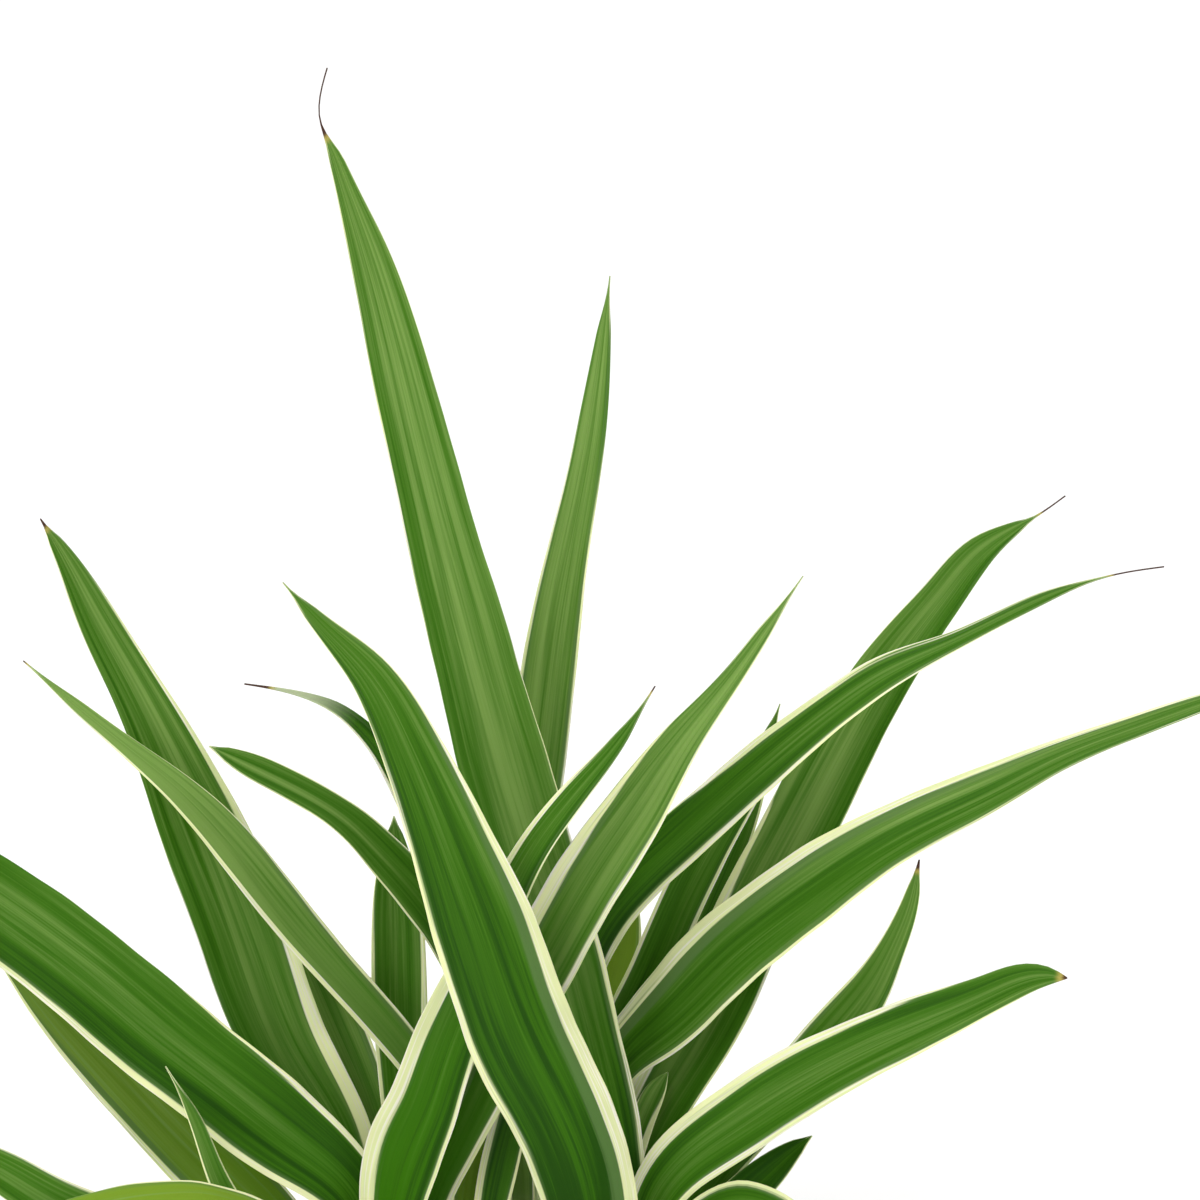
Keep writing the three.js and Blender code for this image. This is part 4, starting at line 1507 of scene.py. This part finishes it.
@dataclass(frozen=True)
class Studio:
    """The plain pale floor, the soft light and the camera, in metres."""

    floor_size: float = 14.0
    floor_colour: Colour = paint(250, 250, 250)
    floor_fade: Span = (1.2, 4.5)
    floor_rough: float = 0.9
    black: Colour = paint(0, 0, 0)
    sky_colour: Colour = paint(255, 255, 255)
    sky_strength: float = 1.0
    lamps: tuple[Lamp, ...] = (
        Lamp("key", (-0.9, -0.9, 1.7), 13.0, 1.1),
        Lamp("fill", (1.3, -0.5, 1.3), 4.0, 1.4),
    )
    seen_from: float = 0.05
    seen_to: float = 50.0

    def floor(self) -> None:
        """Lays the floor under the pot; far off it is as bright as the sky, so no level edge shows."""
        material, sheet, shader = new_material("studio_floor")
        away = sheet.add("ShaderNodeVectorMath", {0: sheet.place()}, operation="LENGTH").outputs["Value"]
        far = sheet.ease(away, *self.floor_fade)
        sheet.feed(shader.inputs["Base Color"], sheet.mix(self.floor_colour, self.black, far))
        sheet.feed(shader.inputs["Emission Color"], sheet.mix(self.black, self.sky_colour, far))
        shader.inputs["Emission Strength"].default_value = self.sky_strength
        shader.inputs["Specular IOR Level"].default_value = 0.0
        shader.inputs["Roughness"].default_value = self.floor_rough
        half = self.floor_size / 2
        mesh = bpy.data.meshes.new("studio_floor")
        corners = [(-half, -half, 0), (half, -half, 0), (half, half, 0), (-half, half, 0)]
        mesh.from_pydata(corners, [], [(0, 1, 2, 3)])
        mesh.materials.append(material)
        floor = put("studio_floor", mesh)

    def camera(self) -> None:
        """Sets the camera where the leaves were drawn from."""
        data = bpy.data.cameras.new("eye")
        data.sensor_width = SENSOR
        data.lens = EYE_DISTANCE * SENSOR / EYE_FIELD
        data.clip_start = self.seen_from
        data.clip_end = self.seen_to
        camera = put("eye", data)
        camera.location = (EYE_TARGET - EYE_AWAY * EYE_DISTANCE) * MM
        camera.rotation_euler = (math.pi / 2 - EYE_TILT, 0.0, 0.0)
        bpy.context.scene.camera = camera

    def build(self) -> None:
        """Sets up the floor, the light and the camera."""
        self.floor()
        world = bpy.data.worlds.new("studio_sky")
        world.use_nodes = True
        sky = world.node_tree.nodes["Background"]
        sky.inputs["Color"].default_value = self.sky_colour
        sky.inputs["Strength"].default_value = self.sky_strength
        bpy.context.scene.world = world
        bpy.context.scene.view_settings.view_transform = "Standard"
        for lamp in self.lamps:
            lamp.hang()
        self.camera()


CROWNS = (
    Crown("left", -29, -2, 13),
    Crown("right", 27, -4, 13),
    Crown("back", 1, 22, 13),
    Crown("front", -1, -30, 13),
    Crown("rear", 2, 48, 10.5),
)

DRAWN_LEAVES = (
    DrawnLeaf(
        "leaf_back_tall", "right", (100, 25), 0.65,
        Look(Margin(0.3, 0.4, 0.5), Margin(1.0, 0.5, 0.55), tones=(0.5, 1.3, 0.9), ends=(-2.6, -0.4),
             vivid=0.2, dry=16), (
            (23.5, 30.5, -7, 14), (17, 60, -11, 18), (9.3, 87.8, -14, 20), (-2, 125, -16, 22),
            (-12.4, 162.5, -16, 20), (-25.4, 213, -14, 16), (-38.3, 262.5, -9, 9.8), (-44.2, 280, -8, 5),
            (-47.2, 288, -7, 3), (-50, 295, -6, 1.1), (-50.1, 300, -6, 0.9), (-48.2, 308, -6, 0.9),
    )),
    DrawnLeaf(
        "leaf_back_slim", "back", (90, 45), 0.65,
        Look(Margin(0.6, 0.5, 0.9), Margin(0.6, 0.9, 0.9), tones=(1.5, 1.6, 1.1), ends=(0.0, -0.8),
             vivid=0.2), (
            (-1, 60, 21, 9.5), (-0.5, 88, 17, 12), (4.5, 132.5, 10, 13.5), (8, 162.5, 9, 13.6),
            (11.8, 185, 9, 10.8), (15.8, 205, 9.5, 8.7), (19, 225, 10, 6.5), (22.5, 256, 12, 0.9),
    )),
    DrawnLeaf(
        "leaf_front_broad", "right", (225, 35), 0.7,
        Look(Margin(1.5, 0.4, 0.96), Margin(3.3, 3.0, 0.84), tones=(-0.9, -0.5, -0.3), ends=(-0.8, 0.9),
             vivid=0.6), (
            (16.9, 25, -28, 23), (10.1, 45, -38, 25), (-0.7, 67.5, -47, 26.4), (-8.6, 89.7, -52, 25.7),
            (-16, 110, -55, 22), (-22, 125, -56, 18.3), (-28.5, 140, -57, 14.7), (-37.6, 156.2, -56, 10.6),
            (-49, 168.1, -54, 5.4), (-59.3, 179.4, -52, 0.9),
    )),
    DrawnLeaf(
        "leaf_left_broad", "left", (132, 36), 0.6,
        Look(Margin(0.0, 0.3, 0.5), Margin(9.0, 0.5, 0.95, 0.5), tones=(0.2, 1.0, 0.6),
             ends=(-0.4, -0.1), dry=2.5), (
            (-45.6, 42, 5, 16), (-57.9, 62.5, 7, 20), (-67, 85, 8, 22), (-85.1, 130, 8, 18.2),
            (-96.1, 152.5, 7, 12.5), (-106.4, 171.3, 6, 9.5), (-114.3, 186.3, 4, 4.8),
            (-119.9, 195.3, 2, 0.9),
    )),
    DrawnLeaf(
        "leaf_left_narrow", "back", (205, 65), 0.6,
        Look(Margin(1.4, 0.4, 0.93), Margin(0.7, 0.8, 0.85), tones=(1.3, 1.6, 1.1), vivid=0.8, dry=0.8), (
            (-14, 34, 2, 7), (-32.5, 67, -3, 9), (-55, 92.5, -7, 10.2), (-70, 111.2, -9, 10.5),
            (-85, 127.2, -9, 7.6), (-100, 139.6, -8, 4.6), (-112, 149.4, -7, 3), (-124.2, 159.8, -5, 0.9),
    )),
    DrawnLeaf(
        "leaf_left_big", "left", (191, 48), 0.6,
        Look(Margin(1.6, 0.8, 0.95), Margin(1.5, 0.5, 0.5), tones=(-0.8, 0.4, -0.1), ends=(-0.8, 0.3)), (
            (-42, 26, -14, 15), (-56, 39, -17, 20.5), (-71, 50.7, -21, 22.6), (-90.5, 65.7, -24, 23),
            (-108.4, 80.9, -27, 22.8), (-130.6, 97.3, -30, 21.8), (-150, 108.6, -33, 20.6),
            (-175, 113, -37, 16), (-222, 106, -46, 0.9),
    )),
    DrawnLeaf(
        "leaf_left_low", "left", (160, 80), 0.55,
        Look(Margin(1.8, 1.6, 0.95), Margin(0.8, 0.5, 0.6), tones=(1.5, 0.8, 0.2), ends=(-0.2, 0.4),
             vivid=0.9, olive=0.5), (
            (-58, 14, -4, 14), (-74, 30, -8, 17), (-98, 55, -11, 17), (-118, 76, -13, 12),
            (-135, 94, -14, 0.9),
    )),
    DrawnLeaf(
        "leaf_back_left_arch", "back", (165, 40), 0.5,
        Look(Margin(0.5, 0.4, 0.95), Margin(0.5, 0.5, 0.95), tones=(-0.3, 0.1, -0.2), ends=(-0.5, 0.6)), (
            (-9, 62, 5, 8), (-15.5, 86, -2, 10.5), (-26, 101.5, -8, 10.5), (-36.2, 112.8, -11, 9.3),
            (-42.5, 119, -13, 8), (-51.9, 125.4, -16, 7), (-61.5, 130.4, -19, 6.8),
            (-70.6, 134.8, -21.5, 5), (-77.7, 138.4, -23, 0.9),
    )),
    DrawnLeaf(
        "leaf_back_left_curl", "back", (122, 75), 0.45,
        Look(Margin(1.0, 0.3, 0.97), Margin(0.6, 1.0, 0.9), tones=(-0.6, -0.3, -0.6), pale=0.9,
             pale_from=0.86, dry=6), (
            (-11, 66, 13, 7), (-17, 96, 9, 8), (-22.5, 113, 6, 8), (-31.5, 132, 4, 6.2),
            (-36.2, 139, 3.5, 5.2), (-40.3, 143.4, 3, 4.2), (-46, 147.8, 2, 3), (-55.7, 151.6, 1, 1.9),
            (-68.9, 154, -1, 0.9),
    )),
    DrawnLeaf(
        "leaf_left_upright", "left", (85, 55), 0.6,
        Look(Margin(0.8, 0.4, 0.95), Margin(2.0, 0.5, 0.97), tones=(0.2, 0.3, 0.0)), (
            (-27.5, 35, 6, 10.5), (-29.5, 62, 10, 13), (-30.3, 90, 12, 13.5), (-31, 108, 13, 9.5),
            (-31.5, 121, 14, 0.9),
    )),
    DrawnLeaf(
        "leaf_centre_right", "left", (20, 30), 0.65,
        Look(Margin(4.6, 0.8, 0.82), Margin(1.6, 0.6, 0.93), tones=(0.1, 1.1, 0.6), ends=(-0.8, 0.1),
             vivid=0.9), (
            (-23, 24, -12, 12), (-17, 38, -18, 13), (-6.7, 60, -23, 15.8), (5.2, 83, -27, 17.2),
            (18.7, 106.7, -28, 17.2), (30.9, 125, -28, 14.6), (40.8, 139.9, -27, 9.8),
            (51.6, 153.6, -25, 5.8), (61.4, 167.3, -23, 3.4), (70.8, 181, -20, 0.9),
    )),
    DrawnLeaf(
        "leaf_right_arch", "back", (25, 40), 0.6,
        Look(Margin(1.7, 0.5, 0.9, 4.0, 0.62), Margin(1.3, 0.5, 0.9), tones=(-0.3, -0.3, -0.6),
             ends=(-0.7, 0.9), dry=12), (
            (6, 50, 13, 9), (12, 71.5, 7, 11), (21, 94.5, 0, 12.5), (38.7, 113.6, -3, 12.8),
            (64.9, 136.8, -7, 11.5), (78.6, 147.8, -9, 10), (92.3, 157, -10, 8.4), (107.1, 163.9, -11, 5.1),
            (133.4, 176.5, -12, 2.9), (151, 181.8, -11, 0.9), (161, 183.3, -10, 0.9),
    )),
    DrawnLeaf(
        "leaf_right_back_broad", "right", (95, 72), 0.6,
        Look(Margin(3.6, 0.5, 0.62), Margin(0.5, 0.4, 0.6), tones=(1.0, 1.0, 0.2), ends=(0.0, -0.3),
             vivid=0.3, dry=7), (
            (28, 35, 8, 14), (35, 50, 9, 16), (45, 67, 10, 18), (58, 95, 12, 18.5), (70.6, 119.3, 13, 18),
            (79.6, 136.4, 13, 17), (93.4, 159.3, 12, 13.6), (107.1, 177.3, 10, 10.2), (114.8, 186.5, 8, 8),
            (131, 197.2, 4, 1), (136.3, 201, 3, 0.9),
    )),
    DrawnLeaf(
        "leaf_right_big", "back", (318, 62), 0.6,
        Look(Margin(3.4, 2.4, 0.97, 2.4), Margin(1.0, 0.9, 0.85), tones=(0.9, 0.1, 0.4),
             ends=(-1.1, 0.3)), (
            (16, 40, 5, 9.5), (26.8, 61.8, 4, 13), (36.1, 70.6, 0, 17), (52.2, 86.7, -5, 19),
            (71.4, 101.7, -9, 18), (84.3, 110.6, -12, 16), (101.4, 120.1, -14, 13.3),
            (118.6, 128.1, -15, 11), (135.8, 136.4, -16.5, 7.6), (152.9, 142.9, -18, 5.7),
            (170, 148.9, -19, 4.4), (187, 154.4, -20, 0.9),
    )),
    DrawnLeaf(
        "leaf_right_small", "right", (55, 68), 0.6,
        Look(Margin(0.6, 0.5, 0.9), Margin(0.6, 0.5, 0.9), tones=(0.4, 0.6, 0.4), dry=2.5), (
            (44, 24, 3, 8), (56, 40, -1, 10), (72, 59, -5, 12), (87, 76.8, -9, 10.6), (92.8, 87.5, -11, 7),
            (97.2, 98.2, -13, 4.6), (99.8, 110, -15, 1.2),
    )),
    DrawnLeaf(
        "leaf_right_low", "right", (0, 35), 0.6,
        Look(Margin(2.7, 0.4, 0.86), Margin(1.3, 0.6, 0.98), tones=(0.3, 0.2, 0.0), ends=(0.0, 0.0),
             vivid=0.3, dry=1), (
            (33, 23, -12, 12), (40.4, 34, -16, 15), (52.2, 43, -20, 16.7), (68.2, 53.2, -25, 16.6),
            (84.3, 61.8, -30, 15), (100.4, 69, -35, 12.7), (116.4, 75.9, -39, 9.4), (131.4, 80.8, -44, 5),
            (136.8, 80.5, -46, 1),
    )),
    DrawnLeaf(
        "leaf_right_low_dark", "right", (18, 84), 0.5,
        Look(Margin(0.6, 0.4, 0.8), Margin(0.6, 0.4, 0.8), tones=(-0.6, -0.3, -0.6)), (
            (44, 12, -6, 7), (59.6, 29.5, -9, 9), (68, 37, -9, 5), (73, 41, -10, 0.9),
    )),
    DrawnLeaf(
        "leaf_right_low_arch", "right", (316, 62), 0.4,
        Look(Margin(1.3, 0.5, 0.9), Margin(1.0, 0.5, 0.9)), (
            (42, 14, -20, 10), (54, 22.5, -32, 11), (66, 19, -42, 11), (80, 4, -50, 9), (92, -16, -56, 0.9),
    )),
    DrawnLeaf(
        "leaf_front_left_rise", "left", (270, 12), 0.65,
        Look(Margin(4.1, 0.4, 0.93), Margin(0.8, 0.4, 0.9), tones=(0.2, 0.1, -0.3), vivid=1.0, dry=1.5), (
            (-32, 22, -22, 16), (-28.2, 37.5, -27, 19.4), (-23.8, 48, -30, 18.3), (-20.3, 58.5, -32, 17.3),
            (-9.5, 85, -38, 12.5), (2.2, 110.7, -40, 8.5), (15, 128, -39, 6.5), (25.5, 140.8, -37, 3.5),
            (33.8, 153.5, -34, 0.9),
    )),
    DrawnLeaf(
        "leaf_right_inner_slim", "rear", (340, 68), 0.55,
        Look(Margin(1.2, 0.5, 0.95), Margin(0.8, 0.4, 0.95), tones=(0.2, 0.2, 0.0)), (
            (30.5, 60, 20, 8.5), (43.5, 92.5, 22, 9.5), (54, 117, 24, 9), (65, 149, 22, 0.9),
    )),
    DrawnLeaf(
        "leaf_right_inner_dark", "back", (28, 80), 0.55,
        Look(Margin(1.0, 0.4, 0.95), Margin(1.2, 0.4, 0.95), tones=(0.0, 0.1, 0.0)), (
            (18, 50, 20, 9), (31, 77.5, 13, 11), (40, 98, 12, 11), (52, 120, 13, 9), (70, 144, 14, 0.9),
    )),
    DrawnLeaf(
        "leaf_inner_young", "back", (65, 75), 0.6,
        Look(Margin(0.5, 0.6, 0.9), Margin(1.8, 0.3, 0.99), tones=(0.8, 0.8, 0.6), olive=0.85), (
            (12, 48, 26, 8), (21.5, 72, 31, 9), (26, 88, 32, 9), (28, 106, 32, 0.9),
    )),
    DrawnLeaf(
        "leaf_left_young", "left", (204, 82), 0.55,
        Look(Margin(0.7, 0.3, 0.95), Margin(0.7, 0.3, 0.95), tones=(0.1, 0.2, 0.1)), (
            (-50, 0, -22, 5), (-62, 10, -28, 6), (-70, 20, -32, 6), (-76.2, 31.8, -36, 4.8),
            (-80.7, 43.8, -38, 3.5), (-88.6, 58.4, -40, 0.9),
    )),
    DrawnLeaf(
        "leaf_hooked_young", "right", (170, 40), 0.6,
        Look(Margin(0.8, 0.4, 0.99), Margin(2.4, 0.4, 0.99), tones=(0.6, 0.6, 0.4)), (
            (24, 22, 3, 6), (28, 37, 3, 6.5), (31.5, 47, 3, 6), (35, 54, 4, 4), (37, 57, 5, 0.9),
    )),
    DrawnLeaf(
        "leaf_inner_low", "front", (100, 60), 0.6,
        Look(Margin(2.0, 0.5, 0.95), Margin(0.8, 0.5, 0.9), tones=(-0.4, -0.2, -0.4)), (
            (-8, 18, -8, 8), (-5.5, 32, -9, 9.5), (-2, 46, -10, 8.5), (2, 60, -10, 5), (5, 70, -10, 0.9),
    )),
    DrawnLeaf(
        "leaf_inner_olive", "back", (240, 84), 0.6,
        Look(Margin(0.8, 0.6, 0.9), Margin(0.8, 0.6, 0.9), tones=(-0.1, 0.1, -0.1), olive=0.6), (
            (-13, 14, -4, 8), (-12, 28, -4, 10), (-10, 40, -4, 9), (-8, 50, -4, 6), (-7, 60, -4, 0.9),
    )),
    DrawnLeaf(
        "leaf_left_inner", "left", (115, 82), 0.55,
        Look(Margin(0.5, 1.0, 0.9), Margin(1.0, 1.0, 0.9), tones=(0.9, 0.9, 0.6)), (
            (-34, 36, 13, 9), (-44, 65, 19, 12), (-52, 83, 21, 10), (-60, 100, 22, 0.9),
    )),
    DrawnLeaf(
        "leaf_left_olive_arch", "left", (244, 50), 0.25,
        Look(Margin(0.8, 0.8, 0.8), Margin(0.7, 0.6, 0.8), tones=(0.2, 0.3, 0.2), olive=0.9), (
            (-47, 8, -32, 12), (-62, 16, -44, 13), (-77.5, 21.5, -54, 13), (-98, 20.5, -60, 13),
            (-115, 17, -64, 11), (-140, 8, -68, 0.9),
    )),
    DrawnLeaf(
        "leaf_left_front_low", "left", (240, 82), 0.45,
        Look(Margin(1.2, 0.6, 0.8), Margin(1.0, 0.6, 0.8), tones=(0.1, 0.3, 0.1), vivid=0.6), (
            (-60, -2, -34, 12), (-80, 8, -40, 14), (-95, 15, -44, 13), (-114, 22.5, -48, 11),
            (-130, 32, -50, 9), (-160, 46, -52, 0.9),
    )),
)

ARCHED_LEAVES = (
    ArchedLeaf("leaf_front_a", "front", (270, 50), 19, 268, 175, 62, -58, 6,
               Look(Margin(2.2, 0.6, 0.8), Margin(2.6, 0.8, 0.75))),
    ArchedLeaf("leaf_front_b", "front", (330, 45), 17, 298, 150, 62, -16, -8,
               Look(Margin(1.3, 0.5, 0.7), Margin(2.4, 0.8, 0.85), tones=(0.1, 0.3, -0.3))),
    ArchedLeaf("leaf_front_c", "front", (210, 45), 18, 240, 160, 62, -24, 8,
               Look(Margin(2.4, 0.7, 0.8), Margin(1.4, 0.5, 0.7), dry=3)),
    ArchedLeaf("leaf_front_d", "front", (350, 78), 16, 322, 150, 40, -46, 4,
               Look(Margin(1.8, 0.6, 0.75), Margin(1.1, 0.5, 0.7), tones=(-0.4, 0.0, 0.1))),
    ArchedLeaf("leaf_front_e", "front", (190, 78), 16, 213, 145, 42, -40, -4,
               Look(Margin(1.1, 0.5, 0.7), Margin(2.1, 0.6, 0.8))),
    ArchedLeaf("leaf_front_g", "front", (160, 60), 13, 197, 105, 28, -6, 8,
               Look(Margin(1.1, 0.5, 0.8), Margin(1.3, 0.5, 0.8), tones=(0.2, 0.4, 0.2))),
    ArchedLeaf("leaf_front_h", "front", (275, 12), 13, 280, 90, 48, 26, 0,
               Look(Margin(1.3, 0.5, 0.8), Margin(1.6, 0.5, 0.85), tones=(0.2, 0.4, 0.1), vivid=0.6)),
    ArchedLeaf("leaf_front_i", "front", (242, 84), 14, 250, 118, 24, -36, -6,
               Look(Margin(1.3, 0.5, 0.75), Margin(1.0, 0.5, 0.7))),
    ArchedLeaf("leaf_front_j", "front", (298, 84), 14, 288, 122, 26, -40, 6,
               Look(Margin(1.0, 0.5, 0.7), Margin(1.6, 0.6, 0.8), tones=(-0.3, 0.1, 0.0), dry=4)),
    ArchedLeaf("leaf_side_right_a", "right", (275, 75), 16, 306, 165, 72, -40, 0,
               Look(Margin(2.1, 0.7, 0.8), Margin(1.3, 0.5, 0.7))),
    ArchedLeaf("leaf_side_right_b", "right", (338, 88), 15, 347, 165, 32, -46, 0,
               Look(Margin(1.1, 0.5, 0.7), Margin(1.8, 0.6, 0.75), tones=(-0.4, 0.1, -0.2))),
    ArchedLeaf("leaf_rear_a", "rear", (83, 68), 18, 90, 130, 36, -30, 6,
               Look(Margin(1.6, 0.6, 0.75), Margin(2.1, 0.7, 0.8))),
    ArchedLeaf("leaf_rear_b", "rear", (44, 48), 16, 70, 112, 26, -36, 0,
               Look(Margin(1.9, 0.6, 0.8), Margin(1.1, 0.5, 0.7), dry=3)),
    ArchedLeaf("leaf_rear_c", "rear", (176, 62), 17, 146, 118, 36, -30, -6,
               Look(Margin(1.3, 0.5, 0.7), Margin(2.2, 0.7, 0.8), tones=(0.1, 0.3, -0.2))),
    ArchedLeaf("leaf_rear_d", "rear", (134, 78), 16, 118, 128, 30, -62, 0,
               Look(Margin(1.8, 0.6, 0.8), Margin(1.2, 0.5, 0.7), tones=(-0.3, 0.1, -0.2))),
    ArchedLeaf("leaf_rear_f", "rear", (226, 80), 16, 128, 84, 58, 46, 6,
               Look(Margin(1.3, 0.5, 0.8), Margin(1.8, 0.6, 0.8), tones=(0.0, 0.3, 0.1))),
    ArchedLeaf("leaf_rear_e", "rear", (98, 14), 17, 98, 88, 70, 58, 0,
               Look(Margin(1.8, 0.6, 0.8), Margin(1.9, 0.6, 0.75), tones=(-0.2, 0.2, 0.1))),
    ArchedLeaf("leaf_rear_g", "rear", (12, 84), 15, 58, 64, 50, 30, -6,
               Look(Margin(1.1, 0.5, 0.7), Margin(1.6, 0.6, 0.8), tones=(-0.2, 0.3, 0.0), dry=2)),
)


@dataclass(frozen=True)
class Plant:
    """The whole plant in its pot. Each leaf's seed sets its streaks and waves apart from the others'."""

    crowns: dict[str, Crown] = field(default_factory=lambda: {crown.name: crown for crown in CROWNS})
    first_seed: float = 1.0
    next_seed: float = 0.37

    def build(self) -> None:
        """Makes each material once, and then each piece."""
        veins = parallel_veins()
        mottle = mottling()
        Pot().build(ClayFinish().material(mottle))
        Compost().build(CompostFinish().material(mottle), BarkFinish().material(mottle))
        tissue = CrownFinish().material(veins)
        for crown in self.crowns.values():
            add_piece(crown.name + "_crown", crown.mesh(), tissue, ["crown_" + crown.name])
        green = LeafFinish().material(veins)
        for number, leaf in enumerate((*DRAWN_LEAVES, *ARCHED_LEAVES)):
            blade = leaf.blade(self.crowns, self.first_seed + self.next_seed * number)
            add_piece(leaf.name.removeprefix("leaf_") + "_leaf", blade.mesh(), green, [leaf.name])


def main() -> None:
    """Builds the studio and the plant."""
    logging.basicConfig(level=logging.INFO, format="%(name)s: %(message)s")
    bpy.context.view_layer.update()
    Studio().build()
    Plant().build()


if __name__ == "__main__":
    main()
